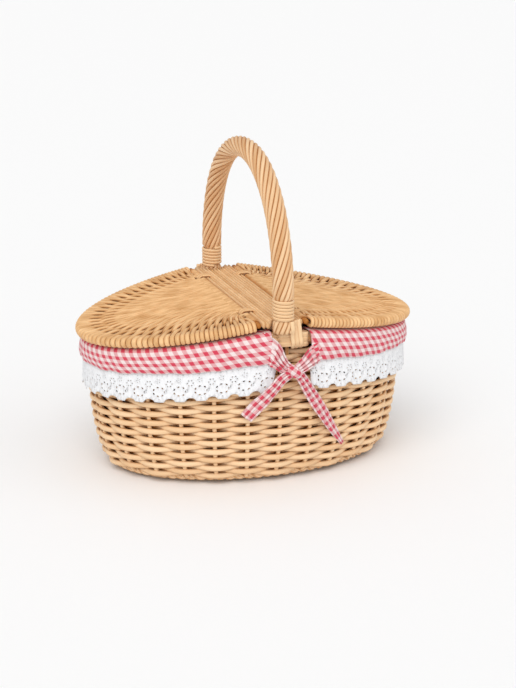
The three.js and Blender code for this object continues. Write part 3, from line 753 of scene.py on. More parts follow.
class BASKET_OT_stage(bpy.types.Operator):
    """Camera, floor and soft light"""

    bl_idname = "basket.stage"
    bl_label = "Stage"

    WORLD_LIGHT = 0.62
    LAMPS = (  # name, where it shines from, spread in degrees, strength
        ("key", (-0.62, -1.0, 1.25), 50, 1.45),
        ("fill", (1.0, -0.8, 0.7), 70, 0.35),
    )

    def execute(self, context):
        scene = context.scene
        scene.view_settings.view_transform = "Standard"
        self.camera(scene, scene.basket_stage)
        self.floor(scene.basket_stage, scene.basket_colours.floor)
        self.lights(scene)
        return {"FINISHED"}

    def camera(self, scene, stage):
        back = Vector((
            math.sin(stage.azimuth) * math.cos(stage.elevation),
            -math.cos(stage.azimuth) * math.cos(stage.elevation),
            math.sin(stage.elevation),
        ))
        data = bpy.data.cameras.new("view")
        data.lens = stage.lens
        camera = linked("view", data)
        camera.location = Vector((stage.target_x, 0, stage.target_z)) + back * stage.distance
        camera.rotation_euler = back.to_track_quat("Z", "Y").to_euler()
        scene.camera = camera

    def floor(self, stage, pale):
        mesh = bmesh.new()
        bmesh.ops.create_grid(mesh, x_segments=4, y_segments=4, size=stage.floor_half)
        material = bpy.data.materials.new("studio_floor")
        material.use_nodes = True
        shader = material.node_tree.nodes["Principled BSDF"]
        set_shader(shader, Base_Color=(*pale, 1), Roughness=0.9, Specular_IOR_Level=0.1)
        mesh_object("floor", mesh, material)

    def lights(self, scene):
        world = bpy.data.worlds.new("studio")
        world.use_nodes = True
        set_shader(world.node_tree.nodes["Background"], Color=(1, 1, 1, 1), Strength=self.WORLD_LIGHT)
        scene.world = world
        for name, place, spread, strength in self.LAMPS:
            data = bpy.data.lights.new(name, "SUN")
            data.angle = math.radians(spread)
            data.energy = strength
            light = linked(name, data)
            light.location = place
            light.rotation_euler = Vector(place).to_track_quat("Z", "Y").to_euler()


class BASKET_OT_wall(bpy.types.Operator):
    """Stakes and the rods woven round them"""

    bl_idname = "basket.wall"
    bl_label = "Wall"

    SEED = 5
    STRAY = 0.00022  # how far a row strays from its level
    STRAYS = 4  # how often it does so round the wall
    SUNK = (-0.55, -0.96)  # swing where painted shade starts on a rod's middle, and where it is full
    EDGE_SUNK = (-0.85, -0.98)  # the same on its edges

    def execute(self, context):
        body = context.scene.basket_body
        self.rows(body)
        self.stakes(body)
        return {"FINISHED"}

    def first_row(self, body):
        return body.wale_height + body.row_pitch / 2

    def rows(self, body):
        """Rods before and behind the stakes by turns, with painted shade in the wedges where they pass
        behind.
        """
        rods = RodBundle()
        chance = random.Random(self.SEED)
        angles = ring_angles(body, body.stakes * STEPS_PER_STAKE)
        first = self.first_row(body)
        last = body.wall_height - body.row_pitch / 2
        for row in range(int((last - first) / body.row_pitch) + 1):
            drift = chance.uniform(0, 2 * math.pi)
            stations = []
            clear = []
            for i, angle in enumerate(angles):
                z = first + row * body.row_pitch + self.STRAY * math.sin(self.STRAYS * angle + drift)
                swing = math.cos(math.pi * (i / STEPS_PER_STAKE + row))
                half = wall_half(body, z) - body.wall_thickness / 2 + swing * body.weave_depth
                point = on_oval(body, half, angle, z)
                height = body.rod_height + abs(swing) * body.rod_spread
                stations.append((point, height, smooth(*self.SUNK, swing), smooth(*self.EDGE_SUNK, swing)))
                clear.append(z < last - sheer(body, point.x))
            whole = all(clear)
            for run in [range(len(angles))] if whole else self.runs(clear):
                kinds = zip(*(stations[i] for i in run))
                path, heights, painted_shades, edge_shades = (list(kind) for kind in kinds)
                rods.add(path, body.rod_depth, closed=whole, height=heights, stain=painted_shades,
                         edge_shade=edge_shades)
        show_rods("wall_rods", rods, rod_willow(), ["wall_weave"])

    def runs(self, clear):
        """Stretches of a ring where a row has room under the border."""
        total = len(clear)
        shut = clear.index(False)
        runs = [[]]
        for i in range(shut, shut + total):
            if clear[i % total]:
                runs[-1].append(i % total)
            elif runs[-1]:
                runs.append([])
        return [run for run in runs if len(run) > 2]

    def stakes(self, body):
        """Stakes that bend in behind a rod and out before the next one."""
        rods = RodBundle()
        first = self.first_row(body)
        for stake, angle in enumerate(ring_angles(body, body.stakes)):
            top = body.wall_height - sheer(body, border_half(body) * math.cos(angle))
            path = []
            for step in range(-2, int(2 * (top - first) / body.row_pitch) + 1):
                z = first + step * body.row_pitch / 2
                bend = body.stake_bend * math.cos(math.pi * (step / 2 + stake))
                half = wall_half(body, z) - body.wall_thickness / 2 + body.stake_out - bend
                path.append(on_oval(body, half, angle, z))
            rods.add(path, body.stake_width, up=outward(body, path[-1]), height=body.stake_depth)
        nodes = [f"stake_{i + 1:02d}" for i in range(body.stakes)]
        show_rods("wall_stakes", rods, rod_willow(0.0, 0.2), nodes)


class BASKET_OT_base(bpy.types.Operator):
    """Woven base and the twisted wale that it stands on"""

    bl_idname = "basket.base"
    bl_label = "Base"

    WALES = (  # half length past the base's, height of the middle, thickness of a rod
        (-0.0116, 0.0036, 0.0033),
        (-0.0040, 0.0040, 0.0037),
        (0.0048, 0.0066, 0.0036),
    )
    WALE_RODS = 3
    WALE_RADIUS = 0.56  # of a twist, in thicknesses of its rods
    MIDDLE = 0.0042  # height of the base's middle
    ROW = 0.0042  # from one row to the next
    ROD = 0.0040
    ROD_HEIGHT = 0.0028
    SWING = 0.0013  # how far a rod swings over and under the sticks
    EDGE = 0.0165  # outermost row inside the underside's edge
    STICK = 0.0030
    STICK_EDGE = 0.008  # end of a stick inside the underside's edge
    SPINE = 0.0038
    SPINE_PITCH = 0.0036

    def execute(self, context):
        body = context.scene.basket_body
        self.wale(body)
        self.base(body)
        return {"FINISHED"}

    def wale(self, body):
        rods = RodBundle()
        angles = ring_angles(body, 8 * body.stakes)
        for past, z, rod in self.WALES:
            path = [on_oval(body, body.base_half + past, angle, z) for angle in angles]
            rods.twist(path, self.WALE_RODS, rod * self.WALE_RADIUS, rod, body.stakes, UP, closed=True)
        show_rods("foot_wale", rods, rod_willow(), ["base_wale"])

    def base(self, body):
        """Rows over and under sticks that start from three straight rods."""
        rods = RodBundle()
        angles = ring_angles(body, body.stakes * STEPS_PER_STAKE)
        edge = body.base_half - self.EDGE
        first_row = body.oval_difference + 0.005
        first_stick = body.oval_difference + 0.002
        reach = body.oval_difference + 0.004
        for row in range(int((edge - first_row) / self.ROW) + 1):
            path = []
            for i, angle in enumerate(angles):
                swing = self.SWING * math.cos(math.pi * (i / STEPS_PER_STAKE + row))
                path.append(on_oval(body, edge - row * self.ROW, angle, self.MIDDLE + swing))
            rods.add(path, self.ROD, closed=True, height=self.ROD_HEIGHT, sides=FINE_SIDES)
        for angle in angles[::STEPS_PER_STAKE]:
            start = on_oval(body, first_stick, angle, self.MIDDLE)
            end = on_oval(body, body.base_half - self.STICK_EDGE, angle, self.MIDDLE)
            rods.add(straight(start, end, 6), self.STICK, sides=FINE_SIDES)
        for place in (-1, 0, 1):
            y = place * self.SPINE_PITCH
            path = straight(Vector((-reach, y, self.MIDDLE)), Vector((reach, y, self.MIDDLE)), 10)
            rods.add(path, self.SPINE)
        show_rods("base_rods", rods, rod_willow(0.0, 0.6), ["base_panel"])


class BASKET_OT_border(bpy.types.Operator):
    """Plaited border on top of the wall"""

    bl_idname = "basket.border"
    bl_label = "Border"

    RODS = 5
    TURNS = 14

    def execute(self, context):
        body = context.scene.basket_body
        rods = RodBundle()
        z = border_middle(body)
        path = [on_oval(body, border_half(body), a, z, 1) for a in ring_angles(body, 8 * body.stakes)]
        radius = (body.border_thickness - body.border_rod) / 2
        rods.twist(path, self.RODS, radius, body.border_rod, self.TURNS, UP, closed=True)
        show_rods("rim_plait", rods, rod_willow(), ["rim_border"])
        return {"FINISHED"}


class BASKET_OT_handle(bpy.types.Operator):
    """Twisted bow handle, its bindings and the cross lashings under its feet"""

    bl_idname = "basket.handle"
    bl_label = "Handle"

    LEG_STEPS = 10
    ARCH_STEPS = 400
    BOW_STEPS = 140
    NECK_SLOPE = (-0.001, 0.002)  # where the slope of a neck starts and ends, from the neck's end
    CORE_IN = 1.6  # how far the core lies inside the bow, in thicknesses of a rod, both sides together
    # painted shade on the core, which shows only between the twisted rods
    CORE_SHADE = 0.9
    PRONG = 0.0036  # rod that is thrust into the wall
    PRONG_X = 0.005
    PRONG_OUT = 0.0015  # outside the middle of the border
    PRONG_ENDS = (-0.038, 0.004)  # from the border's top
    BINDING_STEPS = 30  # in one turn
    SKEIN_DEPTH = 0.9  # share of its thickness that a binding skein fills
    SKEIN_RISE = 0.95  # share of the binding's pitch that it fills
    BAND_OUT = 0.0010  # band of a lashing outside the border
    BAND_ENDS = (-0.0050, 0.0242)
    BAND_TUCK = 0.0035  # how far the band's ends turn in
    BAND_PITCH = 0.0042  # from one skein of the band to the next
    BAND_SKEIN = 0.0018
    BAND_SKEIN_HEIGHT = 0.0046
    TONGUE_OUT = 0.0018  # tongue of a lashing outside its band
    TONGUE_TUCK = 0.0035  # how far the tongue's end turns in
    TONGUE_TOP = 0.0012  # above the bar
    TONGUE_END = 0.0085  # below the middle of the border
    TONGUE_X = 0.0085
    TONGUE_LEAN = 0.0045  # how far it leans to the right on its way down
    TONGUE_PITCH = 0.0037
    TONGUE_SKEIN = 0.0041
    TONGUE_SKEIN_DEPTH = 0.0017
    LEG_GAP = 0.0007  # tongue outside the leg
    LEG_SIDE = 0.0035  # least depth of the leg below a strand that passes its side

    def execute(self, context):
        body = context.scene.basket_body
        handle = context.scene.basket_handle
        self.bow(body, handle)
        for end, turn in (("front", AS_BUILT), ("rear", HALF_TURN)):
            self.binding(handle, end, turn)
            self.lashing(body, handle, end, turn)
        return {"FINISHED"}

    def bow_path(self, body, handle):
        """Points along the bow at equal distances."""
        foot = border_top(body) + SEAT
        rise = handle.top - handle.thickness / 2 - handle.spring

        def bend(value):
            return math.copysign(abs(value) ** (2 / handle.roundness), value)

        def leg(y):
            return straight(Vector((0, y, foot)), Vector((0, y, handle.spring)), self.LEG_STEPS)[:-1]

        arch = []
        for i in range(self.ARCH_STEPS + 1):
            turn = math.pi * i / self.ARCH_STEPS
            y = -handle.foot * bend(math.cos(turn))
            arch.append(Vector((0, y, handle.spring + rise * bend(math.sin(turn)))))
        dense = leg(-handle.foot) + arch + leg(handle.foot)[::-1]
        places = spaced(measured(dense), self.BOW_STEPS)
        return [dense[k].lerp(dense[k + 1], share) for k, share in places]

    def bow(self, body, handle):
        """The twist round a core darkened with painted shade, necked below its bindings, and the prongs
        below its feet.
        """
        rods = RodBundle()
        path = self.bow_path(body, handle)
        neck = handle.skein_thickness - handle.binding_proud
        low = bar_high.z
        high = low + handle.binding_turns * handle.binding_pitch + handle.skein_thickness
        start, end = self.NECK_SLOPE
        sunk = []
        for point in path:
            above = smooth(low + start, low + end, point.z)
            below = smooth(high + end, high + start, point.z)
            sunk.append(neck * above * below)
        radii = [(handle.thickness - handle.rod) / 2 - inward for inward in sunk]
        rods.twist(path, handle.rods, radii, handle.rod, handle.turns, ALONG_X, sides=ROD_SIDES)
        core = [handle.thickness - self.CORE_IN * handle.rod - 2 * inward for inward in sunk]
        rods.add(path, core, up=ALONG_X, stain=self.CORE_SHADE)
        out = border_half(body) - body.oval_difference + self.PRONG_OUT
        low, high = (border_top(body) + end for end in self.PRONG_ENDS)
        for y in (-out, out):
            for x in (-self.PRONG_X, self.PRONG_X):
                rods.add(straight(Vector((x, y, low)), Vector((x, y, high)), 4), self.PRONG, up=ALONG_X)
        show_rods("handle_rods", rods, shaded_bow_willow(), ["handle_core"])

    def binding(self, handle, end, turn):
        rods = RodBundle()
        radius = handle.thickness / 2 + handle.binding_proud - handle.skein_thickness / 2
        start = bar_high.z + SEAT + handle.skein_thickness / 2
        path = []
        for i in range(handle.binding_turns * self.BINDING_STEPS + 1):
            angle = 2 * math.pi * i / self.BINDING_STEPS
            path.append(Vector((
                radius * math.sin(angle),
                -handle.foot + radius * math.cos(angle),
                start + handle.binding_pitch * i / self.BINDING_STEPS,
            )))
        height = self.SKEIN_RISE * handle.binding_pitch
        rods.add(path, self.SKEIN_DEPTH * handle.skein_thickness, height=height)
        rods.place(turn)
        show_rods(f"binding_{end}", rods, skein_willow(), [f"handle_binding_{end}"])

    def lashing(self, body, handle, end, turn):
        """Flat skeins round the border below a foot, under a tongue of skeins from the binding."""
        rods = RodBundle()
        half = border_half(body) + body.border_thickness / 2 + self.BAND_OUT
        middle = border_middle(body)
        for row in (-1, 0, 1):
            path = []
            for i in range(19):
                share = i / 18
                x = mixed(*self.BAND_ENDS, share)
                tuck = self.BAND_TUCK * (2 * share - 1) ** 8
                z = middle + self.BAND_PITCH * row - sheer(body, x)
                path.append(on_front(body, half - tuck, x, z))
            rods.add(path, self.BAND_SKEIN, height=self.BAND_SKEIN_HEIGHT)
        leg = handle.thickness / 2 + self.LEG_GAP
        for strand in (-1, 0, 1):
            path = []
            for i in range(17):
                share = i / 16
                z = mixed(bar_high.z + self.TONGUE_TOP, middle - self.TONGUE_END, share)
                x = self.TONGUE_X + self.TONGUE_PITCH * strand + self.TONGUE_LEAN * share
                depth = math.sqrt(max(leg ** 2 - x ** 2, self.LEG_SIDE ** 2))
                on_leg = Vector((x, -handle.foot - depth, z))
                tuck = self.TONGUE_TUCK * smooth(0.78, 1, share)
                on_band = on_front(body, half + self.TONGUE_OUT - tuck, x, z)
                path.append(on_leg.lerp(on_band, smooth(0.25, 0.62, share)))
            rods.add(path, self.TONGUE_SKEIN, up=-ALONG_Y, height=self.TONGUE_SKEIN_DEPTH)
        rods.place(turn)
        show_rods(f"lashing_{end}", rods, skein_willow(), [f"foot_lashing_{end}"])


class BASKET_OT_bar(bpy.types.Operator):
    """Centre bar on its sticks, with the loops that the lids turn in"""

    bl_idname = "basket.bar"
    bl_label = "Centre bar"

    NOTCH_GAP = 0.0006  # round a leg
    NOTCH_END = 0.0004  # a notched rod's end short of its notch
    CORNER = 0.004  # how far the outermost rods end inside the middle ones
    OVERLAP = 1.06  # width of a rod in pitches
    STICK = 0.006
    STICK_X = 0.007
    LOOP_OUT = 0.0012  # middle of a loop's rod outside the hinge rod
    LOOP_ROD = 0.0020
    LOOP_END = -0.0163  # where the left lid's loops turn round the bar's rods
    LOOP_STEPS = 10  # in each half turn

    def execute(self, context):
        body = context.scene.basket_body
        lids = context.scene.basket_lids
        handle = context.scene.basket_handle
        self.slat(body, lids, handle)
        self.sticks(body, handle)
        for (side, turn), ends in zip(HALVES, (("front", "rear"), ("rear", "front"))):
            for end, way in zip(ends, (-1, 1)):
                self.loop(lids, f"{side}_{end}", way * lids.loop_y, turn)
        return {"FINISHED"}

    def slat(self, body, lids, handle):
        """Rods side by side, those in the middle cut back round the legs."""
        rods = RodBundle()
        half_width = body.level_half
        width = 2 * half_width / lids.bar_rods
        notch = handle.thickness / 2 + self.NOTCH_GAP
        for i in range(lids.bar_rods):
            x = -half_width + width * (i + 0.5)
            near = max(abs(x) - width / 2, 0)
            reach = lids.bar_half - self.CORNER * (abs(x) / half_width) ** 6
            if near < notch:
                reach = handle.foot - math.sqrt(notch ** 2 - near ** 2) - self.NOTCH_END
            path = straight(Vector((x, -reach, lids.hinge_z)), Vector((x, reach, lids.hinge_z)), 20)
            rods.add(path, self.OVERLAP * width, height=bar_high.z - bar_low.z)
        show_rods("bar_rods", rods, bar_willow(), ["bar_slat"])

    def sticks(self, body, handle):
        low = border_top(body) + SEAT
        high = bar_low.z - SEAT
        z = (low + high) / 2
        reach = handle.foot - handle.thickness / 2 - SEAT
        for side, x in (("left", -self.STICK_X), ("right", self.STICK_X)):
            rods = RodBundle()
            path = straight(Vector((x, -reach, z)), Vector((x, reach, z)), 12)
            rods.add(path, self.STICK, height=high - low)
            show_rods(f"stick_{side}", rods, rod_willow(0.0, 0.2), [f"bar_stick_{side}"])

    def loop(self, lids, name, place, turn):
        """Three turns of rod round the hinge rod and the outer rods of the bar."""
        rods = RodBundle()
        radius = lids.hinge_rod / 2 + self.LOOP_OUT
        for row in (-1, 0, 1):
            path = []
            for x, start in ((-lids.hinge_x, math.pi / 2), (self.LOOP_END, -math.pi / 2)):
                for i in range(self.LOOP_STEPS + 1):
                    angle = start + math.pi * i / self.LOOP_STEPS
                    path.append(Vector((
                        x + radius * math.cos(angle),
                        place + row * self.LOOP_ROD,
                        lids.hinge_z + radius * math.sin(angle),
                    )))
            rods.add(path, self.LOOP_ROD, up=ALONG_Y, closed=True, sides=FINE_SIDES)
        rods.place(turn)
        show_rods(f"loop_{name}", rods, bar_willow(), [f"hinge_loop_{name}"])


class BASKET_OT_lids(bpy.types.Operator):
    """Two lids of rods that fan out from the hinge and turn over the edge"""

    bl_idname = "basket.lids"
    bl_label = "Lids"

    SEED = 11
    STEPS = 26  # along a rod
    EDGE_STEPS = 6  # round the lid's edge
    FIRST = 0.0047  # first rod on the edge, from the hinge axis
    FAN_HALF = 0.074  # half length of the hinge rod that the fan starts from
    CROWD = 0.25  # how much closer the rods lie at the hinge than on average
    STRAY = 0.0015  # how far a rod leans out of its line
    ROOT = -0.0044  # where a rod leaves the hinge rod
    LOOP_ROOT = -0.0060  # where it starts beside a loop
    LOOP_SIDE = 0.0043  # half width that is left free for a loop
    LOOP_CLEAR = -0.0068  # where a hoop starts, clear of the loops
    HOOP = 0.0038  # hoop in the edge
    HIDDEN_HOOP = 0.0012
    HOOP_PITCH = 0.0135  # from one hidden hoop to the next
    WEAVE = 0.0010  # how far a rod rises and sinks over the hoops by the edge
    FIELD_WEAVE = 0.0004  # and over those inside it
    SLIT = 0.42  # share of its width that a rod loses where it sinks
    SLITS = (0.3, 1.2)  # least and most of that, from rod to rod
    OVERLAP = 1.02  # width of a rod in pitches
    WRAP = 0.0028  # middle of the skein round a hinge rod
    WRAP_SKEIN = 0.0012
    WRAP_TURN = 115  # degrees of a rod's wrap above and below the hinge axis
    SEAM_SHADE = 0.85  # painted shade on the rods where they turn round the hinge rod
    COIL_PITCH = 0.0023  # of the skein wound on a hinge rod's ends
    COIL_STEPS = 12  # in one turn
    COIL_START = 0.0015  # past the fan
    # how dark the coil's skein gets towards its outer end
    COIL_DARK = 0.9
    BARE = 0.007  # bare end of a hinge rod
    BARE_DARK = (0.085, 0.095)  # where the bare ends start to darken, and where they are darkest

    def execute(self, context):
        body = context.scene.basket_body
        lids = context.scene.basket_lids
        slope = Matrix.Rotation(-body.fall, 4, "Y")
        tilt = Matrix.Translation((-lids.hinge_x, 0, lids.hinge_z)) @ slope
        for side, turn in HALVES:
            self.field(lids, side, turn @ tilt)
            self.hoops(lids, side, turn @ tilt)
            self.hinge_rod(lids, side, turn @ tilt)
        return {"FINISHED"}

    def edge_angles(self, lids, count):
        """Angles along the lid's curved edge, from one end of the hinge to the other."""
        start = math.acos(-(lids.hinge_x + self.FIRST) / lids.half_length)
        return even_angles(lids.half_length, lids.half_depth, count, start, 2 * (math.pi - start))

    def rod_angles(self, lids):
        """Angles of the rods along the edge, closer together towards the hinge."""
        steps = 20 * lids.rods
        fine = self.edge_angles(lids, steps)
        angles = []
        for i in range(lids.rods):
            share = i / (lids.rods - 1)
            share -= self.CROWD * math.sin(2 * math.pi * share) / (2 * math.pi)
            angles.append(fine[round(share * steps)])
        return angles

    def on_edge(self, lids, angle, inset):
        """A point inside the lid's edge, measured square to it, and the direction out."""
        a, b = lids.half_length, lids.half_depth
        out = Vector((math.cos(angle) / a, math.sin(angle) / b, 0)).normalized()
        return Vector((lids.hinge_x + a * math.cos(angle), b * math.sin(angle), 0)) - out * inset, out

    def field(self, lids, side, place):
        """All rods of a lid, each as wide as the room between its neighbours."""
        rods = RodBundle()
        chance = random.Random(self.SEED)
        angles = self.rod_angles(lids)
        lines = []
        for i, angle in enumerate(angles):
            lines.append(self.line(lids, i, angle, chance.uniform(-self.STRAY, self.STRAY)))
        for i, angle in enumerate(angles):
            before = lines[max(i - 1, 0)]
            after = lines[min(i + 1, lids.rods - 1)]
            share = 1 if i in (0, lids.rods - 1) else 2
            pitches = [(b - a).length / share for a, b in zip(before, after)]
            self.lay(lids, rods, i, angle, lines[i], pitches, chance.uniform(*self.SLITS))
        rods.place(place)
        nodes = [f"lid_{side}_panel", f"lid_{side}_border"]
        show_rods(f"lid_{side}_rods", rods, lid_willow(), nodes, f"lid_{side}")

    def root(self, lids, number):
        """Share across the fan at which a rod starts, and its place along the hinge rod."""
        across = 2 * number / (lids.rods - 1) - 1
        return across, self.FAN_HALF * math.copysign(abs(across) ** 1.1, -across)

    def by_loop(self, lids, y):
        return abs(abs(y) - lids.loop_y) < self.LOOP_SIDE

    def line(self, lids, number, angle, lean):
        """Level line of a rod, a curve from the hinge to the middle of the edge's round."""
        across, y = self.root(lids, number)
        edge, out = self.on_edge(lids, angle, lids.edge / 2)
        start = Vector((self.LOOP_ROOT if self.by_loop(lids, y) else self.ROOT, y, 0))
        span = (edge - start).length
        first = start + Vector((-0.42 * span * (1 - 0.75 * abs(across) ** 3), lean, 0))
        second = edge - out * 0.45 * span
        line = []
        for k in range(self.STEPS + 1):
            t = k / self.STEPS
            s = 1 - t
            line.append(start * s ** 3 + first * 3 * s * s * t + second * 3 * s * t * t + edge * t ** 3)
        return line

    def lay(self, lids, rods, number, angle, line, pitches, slit):
        """One rod: round the hinge rod, over hoops out to the edge, round it and back underneath."""
        y = self.root(lids, number)[1]
        edge, out = self.on_edge(lids, angle, lids.edge / 2)
        span = (edge - line[0]).length
        bend = lids.edge / 2 - lids.rod / 2
        level = lids.panel / 2 - lids.rod / 2
        path = []
        widths = []
        painted_shades = []
        for point, pitch in zip(line, pitches):
            inset = (edge - point).length
            wave = math.cos(math.pi * (inset / self.HOOP_PITCH + number))
            inside = smooth(lids.border + 0.008, lids.border - 0.008, inset)
            open_weave = smooth(0.004, 0.009, inset) * inside
            lift = mixed(self.FIELD_WEAVE, self.WEAVE, open_weave) * wave
            lift *= smooth(0.002, 0.008, inset) * smooth(0, 0.012, span - inset)
            height = mixed(level, bend, smooth(0.016, 0.002, inset)) + lift
            path.append(Vector((point.x, point.y, height)))
            sunk = slit * open_weave * smooth(0.2, -0.8, wave)
            widths.append(pitch * (self.OVERLAP - self.SLIT * sunk))
            # Painted shade where a rod sinks under a hoop
            painted_shades.append(min(0.75 * sunk, 1))
        top = list(zip(path, widths))
        for k in range(1, self.EDGE_STEPS):
            turn = math.pi / 2 - math.pi * k / self.EDGE_STEPS
            path.append(edge + out * bend * math.cos(turn) + UP * bend * math.sin(turn))
            widths.append(pitches[-1])
        for point, width in reversed(top):
            path.append(Vector((point.x, point.y, -point.z)))
            widths.append(width)
        heights = [lids.rod] * len(path)
        painted_shades += [0.0] * (len(path) - len(painted_shades))
        closed = not self.by_loop(lids, y)
        if closed:
            for k in range(7):
                turn = math.radians(self.WRAP_TURN * (k / 3 - 1))
                path.append(Vector((self.WRAP * math.cos(turn), y, self.WRAP * math.sin(turn))))
                widths.append(pitches[0])
                heights.append(self.WRAP_SKEIN)
                painted_shades.append(self.SEAM_SHADE * max(math.cos(turn), 0))
        rods.add(path, widths, up=self.lifts(path, out), closed=closed, height=heights, stain=painted_shades)

    def lifts(self, path, out):
        """Directions square to a lid rod and away from the middle of the lid."""
        level = Vector((-out.y, out.x, 0))
        lifts = []
        for here, along in zip(path, headings(path, closed=True)):
            flat = Vector((along.x, along.y, 0))
            if flat.length > 0.5:
                level = Vector((-flat.y, flat.x, 0)).normalized() * (1 if here.z > 0 else -1)
            lifts.append(along.cross(level).normalized())
        return lifts

    def hoops(self, lids, side, place):
        """The hoop in the edge, and thin ones that the rods pass over."""
        rods = RodBundle()
        hidden = [(self.HOOP_PITCH * k, self.HIDDEN_HOOP) for k in (1, 2, 3)]
        for inset, thickness in ((lids.edge / 2, self.HOOP), *hidden):
            path = [self.on_edge(lids, angle, inset)[0] for angle in self.edge_angles(lids, 70)]
            path = [point for point in path if point.x < self.LOOP_CLEAR]
            rods.add(path, thickness, sides=FINE_SIDES)
        rods.place(place)
        nodes = [f"lid_{side}_border"]
        show_rods(f"lid_{side}_hoops", rods, rod_willow(0.0, 0.2), nodes, f"lid_{side}")

    def hinge_rod(self, lids, side, place):
        """The rod that a lid turns on, wound with skein past the fan and bare at its ends."""
        rods = RodBundle()
        oval = math.sqrt(1 - (lids.hinge_x / lids.half_length) ** 2)
        reach = lids.half_depth * oval - lids.edge / 2
        path = straight(Vector((0, -reach, 0)), Vector((0, reach, 0)), 24)
        painted_shades = [smooth(*self.BARE_DARK, abs(point.y)) for point in path]
        rods.add(path, 2 * self.WRAP - self.WRAP_SKEIN, sides=12, stain=painted_shades)
        steps = self.COIL_STEPS * int((reach - self.FAN_HALF - self.BARE) / self.COIL_PITCH)
        for end in (-1, 1):
            path = []
            for k in range(steps + 1):
                turn = 2 * math.pi * k / self.COIL_STEPS
                y = end * (self.FAN_HALF + self.COIL_START + self.COIL_PITCH * k / self.COIL_STEPS)
                path.append(Vector((self.WRAP * math.cos(turn), y, self.WRAP * math.sin(turn))))
            painted_shades = [self.COIL_DARK * smooth(0.6, 1, k / steps) for k in range(len(path))]
            rods.add(path, self.WRAP_SKEIN, up=ALONG_Y, sides=FINE_SIDES, height=self.COIL_PITCH,
                     stain=painted_shades)
        rods.place(place)
        nodes = [f"lid_{side}_hinge_rod"]
        show_rods(f"lid_{side}_rod", rods, lid_willow(), nodes, f"lid_{side}")


class BASKET_OT_liner(bpy.types.Operator):
    """Gathered cotton bag inside the basket"""

    bl_idname = "basket.liner"
    bl_label = "Liner"

    GAP = 0.0018  # bag inside the wall
    FLOOR = 0.0090  # height of the bag's floor
    LAP = 0.004  # top of the bag behind the cuff's inner hem
    SPINE = 0.002  # half depth of the seam in the floor
    STEPS_AROUND = 240
    STEPS_DOWN = 40
    FOLDS = 38  # gathers round the bag
    FOLD = 0.0009

    def execute(self, context):
        body = context.scene.basket_body
        trim = context.scene.basket_cloth
        inset = body.wall_thickness + self.GAP
        top = border_top(body) - trim.cuff_tuck + self.LAP
        rise = top - self.FLOOR
        edge = wall_half(body, self.FLOOR) - inset
        depth = rise + edge - (body.oval_difference + self.SPINE)
        angles = ring_angles(body, self.STEPS_AROUND)
        angles.append(angles[0] + 2 * math.pi)

        def place(across, along):
            angle = angles[round(along * self.STEPS_AROUND)]
            down = across * depth
            if down >= rise:
                return on_oval(body, edge - (down - rise), angle, self.FLOOR)
            z = top - down
            fold = 1 + math.sin(self.FOLDS * angle + 2 * math.sin(3 * angle))
            pleat = self.FOLD * fold * math.sin(math.pi * min(down / rise * 1.1, 1)) ** 0.7
            half = wall_half(body, z) - inset - pleat
            return on_oval(body, half, angle, z, min(z / body.wall_height, 1) ** 3)

        rim_depth = body.rim_half - body.oval_difference
        around = 2 * math.pi * math.sqrt((body.rim_half ** 2 + rim_depth ** 2) / 2)
        mesh = cloth(place, depth, around, self.STEPS_DOWN, self.STEPS_AROUND, closed=True)
        self.close_floor(mesh)
        bmesh.ops.recalc_face_normals(mesh, faces=mesh.faces)
        # The liner's near-black outside is painted shade that shows through the gaps of the weave
        piece = show("liner_bag", mesh, shade_backing(), ["liner"])
        piece.data.materials.append(gingham())
        solidify = thicken(piece, trim.cotton)
        solidify.material_offset = 1
        solidify.material_offset_rim = 1
        return {"FINISHED"}

    def close_floor(self, mesh):
        """Closes the seam in the floor, and lays the floor's checks straight."""
        low = 2 * self.FLOOR
        rim = [edge for edge in mesh.edges if edge.is_boundary and edge.verts[0].co.z < low]
        bmesh.ops.holes_fill(mesh, edges=rim, sides=0)
        lay = mesh.loops.layers.uv[LAY]
        for face in mesh.faces:
            if face.calc_center_median().z < self.FLOOR + 1e-5:
                for loop in face.loops:
                    loop[lay].uv = loop.vert.co.xy


def trim_angles(body, trim, half, count):
    """Angles of the left-hand trim, from the front split round the left end to the rear split."""
    start = -math.pi / 2 - math.asin(trim.split_near / half)
    finish = -1.5 * math.pi + math.asin(trim.split_far / half)
    return even_angles(half, half - body.oval_difference, count, start, finish - start)


def trim_length(body, trim, half):
    return measured([on_oval(body, half, angle, 0) for angle in trim_angles(body, trim, half, 120)])[-1]


def drawn_angle(trim, half, along):
    """How far round the trim's near end is drawn towards the knot."""
    return trim.drawn / half * smooth(0.12, 0, along)


